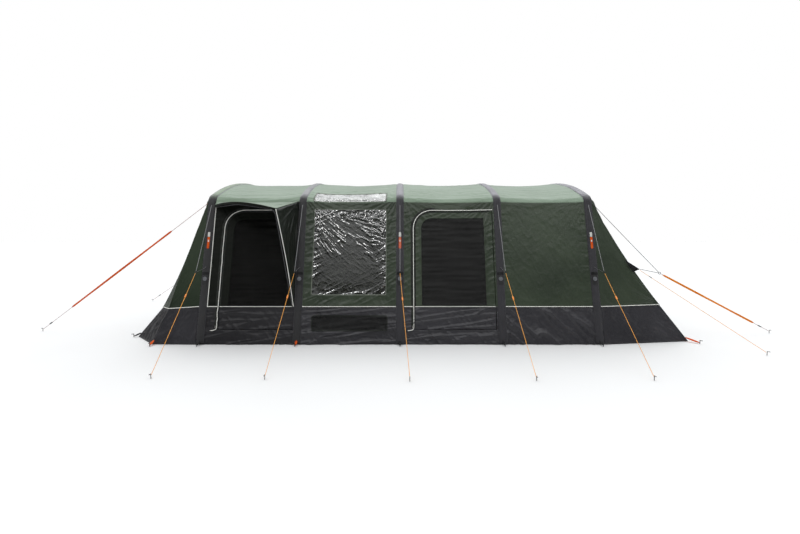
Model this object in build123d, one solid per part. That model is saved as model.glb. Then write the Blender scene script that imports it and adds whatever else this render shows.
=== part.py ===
from build123d import *
import math
import os

# Large tunnel tent on five air beams, pitched and guyed out, in millimetres.
# X runs along the tent with the porch end at -X, Y across it with the porch side at -Y, Z up.
# The origin is on the ground under the middle beam. Fabric is drawn FABRIC thick.

# Driving dimensions: the tunnel
BEAM_X = (-2445, -1264, 0, 1264, 2445)
HALF_WIDTH = 1930
LEAN = 15
EAVE_Z = 1828
APEX_Z = 2150
EAVE_RADIUS = 140
BEAM_RADIUS = 45

# Fabric layers, each measured inward from the tunnel's outline
SLEEVE_DEPTH = 4
FABRIC_TOP = 4.5
FABRIC = 6
BEAM_DEPTH = FABRIC_TOP + FABRIC + 0.5 + BEAM_RADIUS
SLEEVE_HALF = 48
END_OVERHANG = 50
SEAM_GAP = 4
PANEL_LIFT = 4.5
END_REACH = 1500

# Heights
WALL_TOP = 1765
MUD_TOP = 450
SLEEVE_FOOT = 14
BEAM_FOOT = 20
SHEET_THICK = 4

# Ends: corners of the mud wall at its top and on the ground, near side
FRONT_TOP = ((-2874, -1800, 420), (-3120, -1500, 390))
FRONT_GROUND = ((-3040, -1910, 0), (-3447, -1535, 0))
REAR_TOP = ((3300, -1680, 450),)
REAR_GROUND = ((3630, -1770, 0),)

# Doors and windows in the walls: (low x, high x, low z, high z)
PORCH_DOOR = (-2250, -1330, 175, 1660)
PORCH_MESH = (-2150, -1400, 450, 1560)
SIDE_DOOR = (180, 1195, 175, 1655)
SIDE_MESH = (262, 1092, 450, 1570)
WINDOW = (-1112, -174, 590, 1680)
LOW_VENT = (-1090, -160, 163, 340)
FAR_WINDOWS = (WINDOW, (-2330, -1400, 590, 1680))
DOOR_CORNER = 235
DOOR_GAP = 5
MESH_CORNER = 150
PANE_GAP = 0.6
PANE = 2
SKYLIGHT = (-1127, -180, 1780, 1925)
FRONT_PANE = (560, 700, 1450)

# Inner bedroom, hung inside the last bay
ROOM_DEPTH = 150
ROOM_FRONT = 1330
ROOM_FLOOR = 25
ROOM_SIDE = ((3400, 25), (3174, 368), (2320, 1678), (2110, 2000))
ROOM_DOOR = (350, 1250, 150, 1600)

# Porch canopy: its outer edge is a curve through three points
CANOPY_EDGE = ((-2390, -1500, 1722), (-1930, -1855, 1732), (-1490, -1875, 1655))
CANOPY = 4
HOOP_RADIUS = 5
HOOP_PATH = (
    (-2375, -1505, 1690),
    (-1960, -1842, 1706),
    (-1501, -1887, 1638),
    (-1330, -1838, 470),
)
HOOP_BENDS = (280, 90)
WING_FOOT = (-1318, -1826, 455)

# Guying: heights and distances from the tent's axis
BRIDLE_TOP_Z = 1720
BRIDLE_LOW_Z = 930
RING_Y = 1950
RING_Z = 890
PEG_Y = (3070, 3100, 3150, 3135, 3120)
PEG_SHIFT = (110, 6, 90, -6, -93)
CORD_RADIUS = 2.5
BRIDLE_RADIUS = 3
RING_RADIUS = 14
RING_WIRE = 3
STORM_TOP_Z = 1738
STORM_TOP_SHIFT = 52
STORM_TOP_OUT = 8
FRONT_PEG = (-4962, -1246)
FRONT_STRAP = (620, 2450)
REAR_PEG = (5026, -1359)
REAR_JOIN = (3438, -1440, 830)
REAR_STRAP = (30, 1500)
CORNER_PEG = (4093, -2353)
CORNER_STRAP = (125, 160)
REAR_TAB = ((2872, -1606, 1022), (2975, -1632, 862), (3055, -1636, 900))
STRAP_WIDTH = 22
STRAP_THICK = 3
PEG_RADIUS = 4
PEG_HEIGHT = 46
PEG_BAR = 26
RUNNER = (44, 15, 9)
RUNNER_HOLE = 3.4
RUNNER_PLACE = 1000
STORM_RUNNER_PLACE = 130
FOOT_STRAP_Z = (48, 14)
FOOT_REACH = (78, 78, 78, 78, 78, 95, 78, 150)

# Small parts on the beams and walls
PIPING = 4
VALVE_POCKET = (74, 160, 10)
VALVE_Z = 785
CAP_RADIUS = 26
CAP_THICK = 7
TAB = (30, 210, 3)
TAB_Z = 1265
TAB_BEAMS = (0, 2, 4)
SLIDER = (11, 34, 6)

COS = math.cos(math.radians(LEAN))
SIN = math.sin(math.radians(LEAN))
TAN = SIN / COS
EAVE_Y = HALF_WIDTH - EAVE_Z * TAN
ROOF_RISE = APEX_Z - EAVE_Z
ROOF_RADIUS = (EAVE_Y**2 + ROOF_RISE**2) / (2 * ROOF_RISE)

# The near wall as a drawing plane: x along the tent, y up the slope, z outward
NEAR_WALL = Plane(origin=(0, -HALF_WIDTH, 0), x_dir=(1, 0, 0), z_dir=(0, -COS, SIN))


def save(node, *shapes):
    """Writes one node as its own STEP file."""
    solids = [s for shape in shapes for s in shape.solids()]
    export_step(Compound(label=node, children=solids), f"parts/{node}.step")


def far(shape):
    """The same piece on the far side of the tent."""
    return mirror(shape, about=Plane.XZ)


def on_wall(x, z, out=0):
    """Point on the near wall's outline at height z, moved outward."""
    slope = z / COS
    return NEAR_WALL.from_local_coords(Vector(x, slope, out))


def arch(x, inset, foot=-200):
    """The tunnel's outline in the plane of x, moved inward: leg, eave bend, roof, bend, leg."""
    bend = max(EAVE_RADIUS - inset, 10)
    roof_centre = Vector(0, APEX_Z - ROOF_RADIUS)
    inward = Vector(-COS, -SIN)
    along = Vector(-SIN, COS)
    start = Vector(HALF_WIDTH, 0) + inward * (inset + bend)
    to_start = start - roof_centre
    reach = ROOF_RADIUS - inset - bend
    half = to_start.dot(along)
    climb = -half + math.sqrt(half**2 - to_start.dot(to_start) + reach**2)
    centre = start + along * climb
    to_roof = (centre - roof_centre).normalized()
    leg_end = centre - inward * bend
    roof_end = roof_centre + to_roof * (ROOF_RADIUS - inset)
    middle = centre + (to_roof - inward).normalized() * bend
    leg = Vector(HALF_WIDTH, 0) + inward * inset
    leg_foot = leg + along * ((foot - leg.Y) / COS)

    def at(point, side=1):
        return Vector(x, side * point.X, point.Y)

    return Wire(
        [
            Edge.make_line(at(leg_foot, -1), at(leg_end, -1)),
            Edge.make_three_point_arc(at(leg_end, -1), at(middle, -1), at(roof_end, -1)),
            Edge.make_three_point_arc(at(roof_end, -1), (x, 0, APEX_Z - inset), at(roof_end)),
            Edge.make_three_point_arc(at(roof_end), at(middle), at(leg_end)),
            Edge.make_line(at(leg_end), at(leg_foot)),
        ]
    )


def tunnel(inset, x0, x1):
    """Solid of the tunnel's whole section between two planes, its foot well under the ground."""
    outline = arch(x0, inset)
    base = Edge.make_line(outline @ 1, outline @ 0)
    return Solid.extrude(Face(Wire([*outline.edges(), base])), Vector(x1 - x0, 0, 0))


def band(outer, depth, x0, x1):
    """Skin of the tunnel, depth thick."""
    return tunnel(outer, x0, x1) - tunnel(outer + depth, x0, x1)


def zone(z0, z1, y0=-2600, y1=2600):
    """Block that keeps a height and a side."""
    return Pos(0, (y0 + y1) / 2, (z0 + z1) / 2) * Box(12000, y1 - y0, z1 - z0)


def wall_prism(box, corner=0, inset=0, depth=60):
    """Prism through the near wall. The top corner away from the hinge is rounded by corner."""
    x0, x1, z0, z1 = box
    x0, x1 = x0 + inset, x1 - inset
    s0, s1 = z0 / COS + inset, z1 / COS - inset
    outline = Pos((x0 + x1) / 2, (s0 + s1) / 2) * Rectangle(x1 - x0, s1 - s0)
    if corner:
        high = outline.vertices().sort_by(Axis.Y)[-2:]
        outline = fillet(high.sort_by(Axis.X)[0], corner - inset)
    return extrude(NEAR_WALL * outline, amount=depth, both=True)


def plain_sheet(box, corner=0, inset=PANE_GAP):
    """Pane of film or mesh, inside the fabric's thickness."""
    layer = band(FABRIC_TOP + (FABRIC - PANE) / 2, PANE, box[0], box[1])
    return wall_prism(box, corner, inset) & layer


def triangle_panel(*corners):
    """Flat three-cornered panel, its thickness laid inward and its seams drawn in by SEAM_GAP."""
    a, b, c = [Vector(p) for p in corners]
    sides = ((b - c).length, (c - a).length, (a - b).length)
    centre = (a * sides[0] + b * sides[1] + c * sides[2]) * (1 / sum(sides))
    normal = (b - a).cross(c - a)
    keep = 1 - SEAM_GAP * sum(sides) / normal.length
    face = Face(Wire.make_polygon([centre + (p - centre) * keep for p in (a, b, c)]))
    inward = normal.normalized()
    if inward.dot(centre - Vector(0, 0, EAVE_Z / 2)) > 0:
        inward = -inward
    return Solid.extrude(face, inward * FABRIC)


def quilt(outer, inner):
    """Solid between two matching grids of points, with flat triangles between neighbours."""
    rows, columns = len(outer), len(outer[0])
    faces = []

    def cell(a, b, c, d):
        for three in ((a, b, c), (a, c, d)):
            faces.append(Face(Wire.make_polygon(three)))

    for grid in (outer, inner):
        for i in range(rows - 1):
            for j in range(columns - 1):
                cell(grid[i][j], grid[i][j + 1], grid[i + 1][j + 1], grid[i + 1][j])
    rim = [(0, j) for j in range(columns)]
    rim += [(i, columns - 1) for i in range(1, rows)]
    rim += [(rows - 1, j) for j in range(columns - 2, -1, -1)]
    rim += [(i, 0) for i in range(rows - 2, 0, -1)]
    for (i, j), (m, n) in zip(rim, rim[1:] + rim[:1]):
        cell(outer[i][j], outer[m][n], inner[m][n], inner[i][j])
    solid = Solid(Shell(faces))
    return solid if solid.volume > 0 else Solid(solid.wrapped.Reversed())


def end_strip(ground, top):
    """Mud wall round one end: a strip of panels standing on the ground, mitred at its corners."""
    lower, upper = [Vector(p) for p in ground], [Vector(p) for p in top]
    count = len(lower)
    normals = []
    for a, b in zip(lower, lower[1:]):
        side = (b - a).cross(Vector(0, 0, 1)).normalized()
        normals.append(side if side.dot(a + b) < 0 else -side)
    shifts = []
    for i in range(count):
        n1, n2 = normals[max(i - 1, 0)], normals[min(i, count - 2)]
        shifts.append((n1 + n2) * (FABRIC / (1 + n1.dot(n2))))
    inner = [[p + s for p, s in zip(row, shifts)] for row in (lower, upper)]
    return quilt([lower, upper], inner)


def end_panel(x, corner):
    """Ruled panel from the arch at x down to the straight top of the mud wall."""
    low = Vector(corner)
    sign = 1 if x > 0 else -1
    eave = on_wall(x, WALL_TOP, -FABRIC_TOP)
    run = Vector(low.X - x, 0, low.Z - eave.Z).normalized()
    inward = Vector(sign * run.Z, 0, -abs(run.X)) * FABRIC
    side_gap = SEAM_GAP + 1
    crown = APEX_Z - FABRIC_TOP

    def outline(y, z, top, shift):
        return [Vector(x, y, z) + shift, Vector(x, 0, top) + shift, Vector(x, -y, z) + shift]

    drop = Vector(0, 0, -2 * FABRIC)
    outer = outline(eave.Y + side_gap, eave.Z, crown, Vector(sign, 0, 0))
    inner = [p + drop for p in outer]
    top = Wire(
        [
            Edge.make_three_point_arc(*outer),
            Edge.make_line(outer[2], inner[2]),
            Edge.make_three_point_arc(*reversed(inner)),
            Edge.make_line(inner[0], outer[0]),
        ]
    )
    edge = Vector(low.X, low.Y + side_gap, low.Z + PANEL_LIFT)
    mirrored = Vector(edge.X, -edge.Y, edge.Z)
    foot = Wire.make_polygon([edge, mirrored, mirrored + inward, edge + inward])
    return Solid.make_loft([foot, top], ruled=True)


def rod(a, b, radius):
    """Straight round rod or cord between two points."""
    a, b = Vector(a), Vector(b)
    return Solid.make_cylinder(radius, (b - a).length, Plane(origin=a, z_dir=b - a))


def strap(a, b, width=STRAP_WIDTH, thick=STRAP_THICK):
    """Straight flat webbing between two points, its width level."""
    a, b = Vector(a), Vector(b)
    plane = Plane(origin=a, x_dir=(b - a).cross(Vector(0, 0, 1)), z_dir=b - a)
    return extrude(plane * Rectangle(width, thick), amount=(b - a).length)


def along(a, b, distance):
    """Point on the line from a to b."""
    a, b = Vector(a), Vector(b)
    return a + (b - a).normalized() * distance


def ring(centre, normal):
    """Small steel ring where guying lines meet."""
    return Plane(origin=centre, z_dir=normal) * Torus(RING_RADIUS, RING_WIRE)


def runner(a, b, distance):
    """Line runner threaded on the cord from a to b, at a distance from a."""
    length, width, thick = RUNNER
    here = along(a, b, distance)
    direction = (Vector(b) - Vector(a)).normalized()
    plane = Plane(origin=here, x_dir=direction.cross(Vector(0, 0, 1)), z_dir=direction)
    outline = fillet(Rectangle(width, thick + 3).vertices(), 3)
    return extrude(plane * (outline - Circle(RUNNER_HOLE)), amount=length)


def peg(x, y, outward):
    """Peg head above the ground: shank, and a bar across it that holds the line."""
    lean = Vector(*outward, 0).normalized()
    shank = Pos(x, y, PEG_HEIGHT / 2) * Cylinder(PEG_RADIUS, PEG_HEIGHT)
    start = Vector(x, y, PEG_HEIGHT - PEG_RADIUS)
    return shank + rod(start, start + lean * PEG_BAR, PEG_RADIUS)


# Frame: air beams and what is fixed to them
def air_beam(x):
    """One inflated arch. The tube is closed at both feet and drawn solid."""
    path = arch(x, BEAM_DEPTH, BEAM_FOOT)
    section = Plane(origin=path @ 0, z_dir=path % 0) * Circle(BEAM_RADIUS)
    return sweep(section, path=path)


def beam_sleeve(x):
    """Outer fabric band that hides one air beam."""
    sleeve = band(0, SLEEVE_DEPTH, x - SLEEVE_HALF, x + SLEEVE_HALF)
    return sleeve & zone(SLEEVE_FOOT, APEX_Z + 50)


def on_leg(x, z, size, lift):
    """Flat block on the near leg of the beam at x: size is along X, up the leg and outward."""
    block = Box(*size, align=(Align.CENTER, Align.CENTER, Align.MIN))
    return NEAR_WALL * Pos(x, z / COS, lift) * block


def valve_cap(x):
    cap = Cylinder(CAP_RADIUS, CAP_THICK, align=(Align.CENTER, Align.CENTER, Align.MIN))
    return NEAR_WALL * Pos(x, VALVE_Z / COS, VALVE_POCKET[2] + 0.8) * cap


# Flysheet
def bays():
    """Start and end of each bay's fabric. The end bays reach past their beams."""
    ends = [BEAM_X[0] - END_OVERHANG, *BEAM_X[1:-1], BEAM_X[-1] + END_OVERHANG]
    return [(a + 0.5, b - 0.5) for a, b in zip(ends, ends[1:])]


def fly_parts():
    """Roof, walls, mud walls and the two side doors, cut from the tunnel's skin."""
    made = {name: [] for name in ("roof", "near", "far", "mud_near", "mud_far")}
    doors = {}
    near_cuts = [wall_prism(WINDOW), wall_prism(LOW_VENT)]
    for name, box in (("porch", PORCH_DOOR), ("side", SIDE_DOOR)):
        near_cuts.append(wall_prism(box, DOOR_CORNER))
    far_cuts = [far(wall_prism(box)) for box in FAR_WINDOWS] + [far(wall_prism(LOW_VENT))]
    roof_cut = Pos(sum(SKYLIGHT[:2]) / 2, 0, 0) * Box(SKYLIGHT[1] - SKYLIGHT[0], 6000, 6000)
    roof_cut = roof_cut & zone(SKYLIGHT[2], SKYLIGHT[3], -2600, 0)
    for x0, x1 in bays():
        skin = band(FABRIC_TOP, FABRIC, x0, x1)
        made["roof"].append(skin & zone(WALL_TOP + 0.5, APEX_Z + 50) - roof_cut)
        near, away = skin & zone(0, WALL_TOP, -2600, 0), skin & zone(0, WALL_TOP, 0, 2600)
        for cut in near_cuts:
            near = near - cut
        for cut in far_cuts:
            away = away - cut
        made["near"].append(near & zone(MUD_TOP + 0.5, WALL_TOP))
        made["mud_near"].append(near & zone(0, MUD_TOP))
        made["far"].append(away & zone(MUD_TOP + 0.5, WALL_TOP))
        made["mud_far"].append(away & zone(0, MUD_TOP))
        for name, box, mesh in (
            ("porch", PORCH_DOOR, PORCH_MESH),
            ("side", SIDE_DOOR, SIDE_MESH),
        ):
            if x0 < box[0] < x1:
                leaf = wall_prism(box, DOOR_CORNER, DOOR_GAP) & skin
                doors[name] = leaf - wall_prism(mesh, MESH_CORNER)
    skylight = band(FABRIC_TOP + 2, PANE, SKYLIGHT[0] + PANE_GAP, SKYLIGHT[1] - PANE_GAP)
    skylight = skylight & zone(SKYLIGHT[2] + PANE_GAP, SKYLIGHT[3] - PANE_GAP, -2600, 0)
    return made, doors, skylight


def front_prisms(inset=0):
    """Prisms through the leaning front panel, one for each of its three film windows."""
    half, low, high = FRONT_PANE
    prisms = []
    for y in (-half * 1.55, 0, half * 1.55):
        outline = RectangleRounded(half - 2 * inset, high - low - 2 * inset, 60 - inset)
        start = Plane.YZ.offset(FRONT_TOP[1][0])
        prisms.append(extrude(start * Pos(y, (low + high) / 2) * outline, amount=END_REACH))
    return prisms


def front_end():
    """Leaning front panel and its two corner panels a side, with the window panes."""
    x = BEAM_X[0] - END_OVERHANG - 1
    whole = end_panel(x, FRONT_TOP[1])
    middle = whole & whole.translate((FABRIC / 2, 0, 0))
    panes = [middle & prism for prism in front_prisms(PANE_GAP)]
    main = whole
    for prism in front_prisms():
        main = main - prism
    foot = on_wall(x, MUD_TOP + PANEL_LIFT, -FABRIC_TOP)
    eave = on_wall(x, WALL_TOP, -FABRIC_TOP)
    near_top = [Vector(p) + Vector(0, 0, PANEL_LIFT) for p in FRONT_TOP]
    side = triangle_panel(foot, eave, near_top[0])
    chamfer = triangle_panel(near_top[0], eave, near_top[1])
    return [main, side, chamfer, far(side), far(chamfer)], panes


def rear_end():
    x = BEAM_X[-1] + END_OVERHANG + 1
    foot = on_wall(x, MUD_TOP + PANEL_LIFT, -FABRIC_TOP)
    eave = on_wall(x, WALL_TOP, -FABRIC_TOP)
    corner = Vector(REAR_TOP[0]) + Vector(0, 0, PANEL_LIFT)
    side = triangle_panel(foot, eave, corner)
    return [end_panel(x, REAR_TOP[0]), side, far(side)]


def mud_end(x, top, ground):
    """Mud wall strip round an end, from the near leg to the far one."""
    near_top = [on_wall(x, MUD_TOP, -FABRIC_TOP), *top]
    near_ground = [on_wall(x, 0, -FABRIC_TOP), *ground]
    other = [(p[0], -p[1], p[2]) for p in reversed(top)]
    other_ground = [(p[0], -p[1], p[2]) for p in reversed(ground)]
    last_top, last_ground = near_top[0], near_ground[0]
    near_top += [*other, (last_top.X, -last_top.Y, last_top.Z)]
    near_ground += [*other_ground, (last_ground.X, -last_ground.Y, last_ground.Z)]
    return end_strip(near_ground, near_top)


def groundsheet():
    """Sewn-in floor that fills the plan inside the mud walls."""
    half = HALF_WIDTH - 20
    near = [(BEAM_X[-1] + END_OVERHANG, -half), (REAR_GROUND[0][0] - 20, REAR_GROUND[0][1] + 16)]
    front = [(FRONT_GROUND[0][0] + 8, FRONT_GROUND[0][1] + 18)]
    front += [(FRONT_GROUND[1][0] + 16, FRONT_GROUND[1][1] + 12)]
    plan = [*near, *[(x, -y) for x, y in reversed(near)]]
    plan += [(BEAM_X[0] - END_OVERHANG, half), *[(x, -y) for x, y in front]]
    plan += [*reversed(front), (BEAM_X[0] - END_OVERHANG, -half)]
    return extrude(make_face(Polyline(*plan, close=True)), amount=SHEET_THICK)


# Inner bedroom
def room_block(inset):
    """Solid of the bedroom's outside, drawn in by inset."""
    profile = [(ROOM_FRONT, ROOM_FLOOR), *ROOM_SIDE, (ROOM_FRONT, ROOM_SIDE[-1][1])]
    side = make_face(Polyline(*profile, close=True))
    if inset:
        side = offset(side, amount=-inset, kind=Kind.INTERSECTION)
    slab = extrude(Plane.XZ * side, amount=2600, both=True)
    return slab & tunnel(ROOM_DEPTH + inset, ROOM_FRONT + inset, ROOM_SIDE[0][0] - inset)


def bedroom():
    """Bedroom shell with two doorways, and its two doors. Each door is hung at its outer edge."""
    shell = room_block(0) - room_block(FABRIC)
    y0, y1, z0, z1 = ROOM_DOOR
    doors = []
    for side in (-1, 1):
        hole = Pos(ROOM_FRONT, side * (y0 + y1) / 2, (z0 + z1) / 2) * Box(40, y1 - y0, z1 - z0)
        shell = shell - hole
        leaf = Box(FABRIC, y1 - y0 - 2 * DOOR_GAP, z1 - z0 - 2 * DOOR_GAP)
        doors.append(Pos(ROOM_FRONT + FABRIC / 2, side * (y0 + y1) / 2, (z0 + z1) / 2) * leaf)
    return shell, doors


# Porch
def porch():
    """Canopy sheet, its right-hand wing, and the sprung rod under the outer edge."""
    start, middle, end = [Vector(p) for p in CANOPY_EDGE]
    control = middle * 2 - (start + end) * 0.5
    steps = [i / 8 for i in range(9)]
    edge = [start * (1 - t) ** 2 + control * (2 * t * (1 - t)) + end * t**2 for t in steps]
    near_beams = (BEAM_X[0] + SLEEVE_HALF + 6, BEAM_X[1] - SLEEVE_HALF - 6)
    wall = [on_wall(near_beams[0] * (1 - t) + near_beams[1] * t, WALL_TOP - 5, 8) for t in steps]
    drop = Vector(0, 0, -CANOPY)
    outer = [wall, edge]
    canopy = quilt(outer, [[p + drop for p in row] for row in outer])
    low = Vector(0, 0, -CANOPY - 2)
    wing = triangle_wing(wall[-1] + low, end + low, Vector(WING_FOOT))
    rod_path = FilletPolyline(*HOOP_PATH, radius=list(HOOP_BENDS))
    section = Plane(origin=rod_path @ 0, z_dir=rod_path % 0) * Circle(HOOP_RADIUS)
    return canopy, wing, sweep(section, path=rod_path)


def triangle_wing(a, b, c):
    normal = (b - a).cross(c - a).normalized()
    if normal.X < 0:
        normal = -normal
    return Solid.extrude(Face(Wire.make_polygon([a, b, c])), normal * CANOPY)


# Guying
def peg_hold(x, y, lean):
    """Where a line meets its peg: against the shank, just under the bar."""
    side = Vector(*lean, 0).normalized()
    return Vector(x, y, PEG_HEIGHT - 3 * PEG_RADIUS - CORD_RADIUS) - side * (PEG_RADIUS + CORD_RADIUS + 2)


def side_guy(x, peg_x, peg_y, side):
    """One beam's guy on one side: two bridle legs, a ring, the line, its runner and its peg."""
    centre = Vector(x, side * RING_Y, RING_Z)
    hub = RING_RADIUS + RING_WIRE + CORD_RADIUS
    legs = []
    for z in (BRIDLE_TOP_Z, BRIDLE_LOW_Z):
        top = on_wall(x, z, SLEEVE_DEPTH + 1)
        top = Vector(x, -side * top.Y, top.Z)
        legs.append(rod(top, along(centre, top, hub), BRIDLE_RADIUS))
    hold = peg_hold(peg_x, side * peg_y, (0, side))
    start = along(centre, hold, hub)
    return {
        "bridles": legs,
        "guy_rings": [ring(centre, (1, 0, 0))],
        "side_guylines": [rod(start, hold, CORD_RADIUS)],
        "guy_pegs": [peg(peg_x, side * peg_y, (0, side))],
        "runner": runner(hold, start, RUNNER_PLACE),
    }


def strap_guy(start, foot, strap_span, node):
    """Guy with a flat strap in its middle, from start down to the peg at foot."""
    lean = (foot[0] - start.X, foot[1] - start.Y)
    hold = peg_hold(*foot, lean)
    low, high = [along(start, hold, d) for d in strap_span]
    return {
        node: [
            rod(start, low, CORD_RADIUS),
            strap(low, high),
            rod(high, hold, CORD_RADIUS),
        ],
        "guy_pegs": [peg(*foot, lean)],
        "runner": runner(hold, high, STORM_RUNNER_PLACE),
    }


def end_guys():
    """Near-side guys of the two ends: front storm guy, rear storm guy with its bridle, corner guy."""
    top_front = on_wall(BEAM_X[0] - STORM_TOP_SHIFT, STORM_TOP_Z, STORM_TOP_OUT)
    top_rear = on_wall(BEAM_X[-1] + STORM_TOP_SHIFT, STORM_TOP_Z, STORM_TOP_OUT)
    join, tab_tip = Vector(REAR_JOIN), Vector(REAR_TAB[2])
    hub = RING_RADIUS + RING_WIRE + CORD_RADIUS
    tab = Solid.extrude(Face(Wire.make_polygon(REAR_TAB)), Vector(0, -STRAP_THICK, 0))
    off_tab = tab_tip + Vector(6, 0, 0)
    rear = strap_guy(along(join, Vector(*REAR_PEG, 0), hub), REAR_PEG, REAR_STRAP, "storm_guys")
    corner = strap_guy(tab_tip + Vector(0, -8, -14), CORNER_PEG, CORNER_STRAP, "corner_guys")
    return {
        "front": strap_guy(top_front, FRONT_PEG, FRONT_STRAP, "storm_guys"),
        "rear": rear,
        "corner": corner,
        "bridles": [
            rod(top_rear, along(join, top_rear, hub), BRIDLE_RADIUS),
            rod(off_tab, along(join, off_tab, hub), BRIDLE_RADIUS),
        ],
        "guy_rings": [ring(join, (0, 1, 0))],
        "guy_tabs": [tab],
    }


def foot_fixings():
    """Webbing tabs and pegs that hold the mud wall down at each beam and corner."""
    places = [
        ((x, -HALF_WIDTH, 0), (x, MUD_TOP * TAN - HALF_WIDTH, MUD_TOP), (0, -1)) for x in BEAM_X
    ]
    places.append((FRONT_GROUND[0], FRONT_TOP[0], (0.1, -0.995)))
    places.append((FRONT_GROUND[1], FRONT_TOP[1], (-0.92, -0.4)))
    places.append((REAR_GROUND[0], REAR_TOP[0], (0.6, -0.8)))
    high, low = FOOT_STRAP_Z
    straps, pegs = [], []
    for (ground, top, (out_x, out_y)), reach in zip(places, FOOT_REACH):
        out = Vector(out_x, out_y, 0)
        start = Vector(*ground) + (Vector(*top) - Vector(*ground)) * (high / top[2]) + out * 4
        end = Vector(start.X, start.Y, low) + out * reach
        straps.append(strap(start, end))
        clear = end + out * (PEG_RADIUS + 1)
        pegs.append(peg(clear.X, clear.Y, (out_x, out_y)))
    return straps, pegs


# Trim
def door_trim(box):
    """Piping round a door's zip side and top, and the zip slider beside its foot."""
    x0, x1, z0, z1 = box
    edge = PIPING * 2
    corners = ((x0 - edge, z0 / COS), (x0 - edge, z1 / COS + edge), (x1, z1 / COS + edge))
    path = NEAR_WALL.offset(PIPING + 0.3 - FABRIC_TOP) * FilletPolyline(
        *corners, radius=DOOR_CORNER + edge
    )
    piping = sweep(Plane(origin=path @ 0, z_dir=path % 0) * Circle(PIPING), path=path)
    slider = Box(*SLIDER, align=(Align.CENTER, Align.CENTER, Align.MIN))
    place = Pos(x0 - edge - PIPING - SLIDER[0], z0 / COS + SLIDER[1], 0.4 - FABRIC_TOP)
    return piping, NEAR_WALL * place * slider


def wall_piping():
    """Piping along the mud wall's top, near side: between the sleeves, doors and corners."""
    lift = PIPING + 0.5 - FABRIC_TOP
    clear = SLEEVE_HALF + PIPING
    stops = [(x - clear, x + clear) for x in BEAM_X]
    stops += [(box[0] - 5 * PIPING, box[1]) for box in (PORCH_DOOR, SIDE_DOOR)]
    stops.sort()
    pieces = []
    for (_, a), (b, _) in zip(stops, stops[1:]):
        if b - a > 12 * PIPING:
            pieces.append(rod(on_wall(a, MUD_TOP, lift), on_wall(b, MUD_TOP, lift), PIPING))
    for side, corners in ((-1, FRONT_TOP), (1, REAR_TOP)):
        beam = BEAM_X[0] if side < 0 else BEAM_X[-1]
        points = [on_wall(beam + side * clear, MUD_TOP, lift)]
        points += [Vector(p) + Vector(side * 5, -8, 3) for p in corners]
        for a, b in zip(points, points[1:]):
            pieces.append(rod(along(a, b, PIPING), along(b, a, PIPING), PIPING))
        last = points[-1] + Vector(side * 6, 8 + 2 * PIPING, 0)
        pieces.append(rod(last, (last.X, -last.Y, last.Z), PIPING))
    return pieces


def both_sides(pieces):
    return [*pieces, *[far(p) for p in pieces]]


def build():
    os.makedirs("parts", exist_ok=True)
    for number, x in enumerate(BEAM_X, 1):
        save(f"air_beam_{number}", air_beam(x))
        save(f"valve_cap_{number}", valve_cap(x))
    save("beam_sleeves", *[beam_sleeve(x) for x in BEAM_X])
    pocket = [on_leg(x, VALVE_Z, VALVE_POCKET, 0.3) for x in BEAM_X]
    save("valve_pockets", *pocket)
    save("beam_tabs", *[on_leg(BEAM_X[i], TAB_Z, TAB, 0.3) for i in TAB_BEAMS])

    fly, doors, skylight = fly_parts()
    front, front_windows = front_end()
    save("fly_roof", *fly["roof"])
    save("fly_wall_near", *fly["near"])
    save("fly_wall_far", *fly["far"])
    save("mud_wall_near", *fly["mud_near"])
    save("mud_wall_far", *fly["mud_far"])
    save("fly_front", *front)
    save("fly_rear", *rear_end())
    save("mud_wall_front", mud_end(BEAM_X[0] - END_OVERHANG - 1, FRONT_TOP, FRONT_GROUND))
    save("mud_wall_rear", mud_end(BEAM_X[-1] + END_OVERHANG + 1, REAR_TOP, REAR_GROUND))
    save("groundsheet", groundsheet())
    panes = [plain_sheet(WINDOW), *[far(plain_sheet(box)) for box in FAR_WINDOWS]]
    save("side_windows", *[p & zone(0, APEX_Z, -2600, 0) for p in panes[:1]], *panes[1:])
    save("front_windows", *front_windows)
    save("skylight", skylight)
    save("low_vents", plain_sheet(LOW_VENT), far(plain_sheet(LOW_VENT)))

    room, room_doors = bedroom()
    save("bedroom_inner", room)
    for name, leaf in zip(("near", "far"), room_doors):
        save(f"bedroom_door_{name}", leaf)

    for name, mesh in (("porch", PORCH_MESH), ("side", SIDE_MESH)):
        save(f"{name}_door", doors[name])
        save(f"{name}_door_mesh", plain_sheet(mesh, MESH_CORNER))
    trims = [door_trim(box) for box in (PORCH_DOOR, SIDE_DOOR)]
    save("zip_slider_porch", trims[0][1])
    save("zip_slider_side", trims[1][1])
    save("door_piping", trims[0][0], trims[1][0])
    save("wall_piping", *wall_piping())

    canopy, wing, hoop = porch()
    save("porch_canopy", canopy)
    save("canopy_wing", wing)
    save("canopy_rod", hoop)

    shared = {}
    near_guys = [side_guy(x, x + s, y, -1) for x, s, y in zip(BEAM_X, PEG_SHIFT, PEG_Y)]
    far_guys = [side_guy(x, x, PEG_Y[2], 1) for x in BEAM_X]
    ends = end_guys()
    for guy in (*near_guys, *far_guys):
        for node, pieces in guy.items():
            if node != "runner":
                shared.setdefault(node, []).extend(pieces)
    for name in ("front", "rear", "corner"):
        for node, pieces in ends[name].items():
            if node != "runner":
                shared.setdefault(node, []).extend(both_sides(pieces))
        if name != "corner":
            save(f"runner_{name}_near", ends[name]["runner"])
            save(f"runner_{name}_far", far(ends[name]["runner"]))
    for node in ("bridles", "guy_rings", "guy_tabs"):
        shared.setdefault(node, []).extend(both_sides(ends[node]))
    for node, pieces in shared.items():
        save(node, *pieces)
    for number, guy in enumerate(near_guys, 1):
        save(f"runner_near_{number}", guy["runner"])
    save("runners_far", *[guy["runner"] for guy in far_guys])

    straps, pegs = foot_fixings()
    save("peg_straps", *both_sides(straps))
    save("foot_pegs", *both_sides(pegs))


build()
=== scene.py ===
import math

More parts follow.
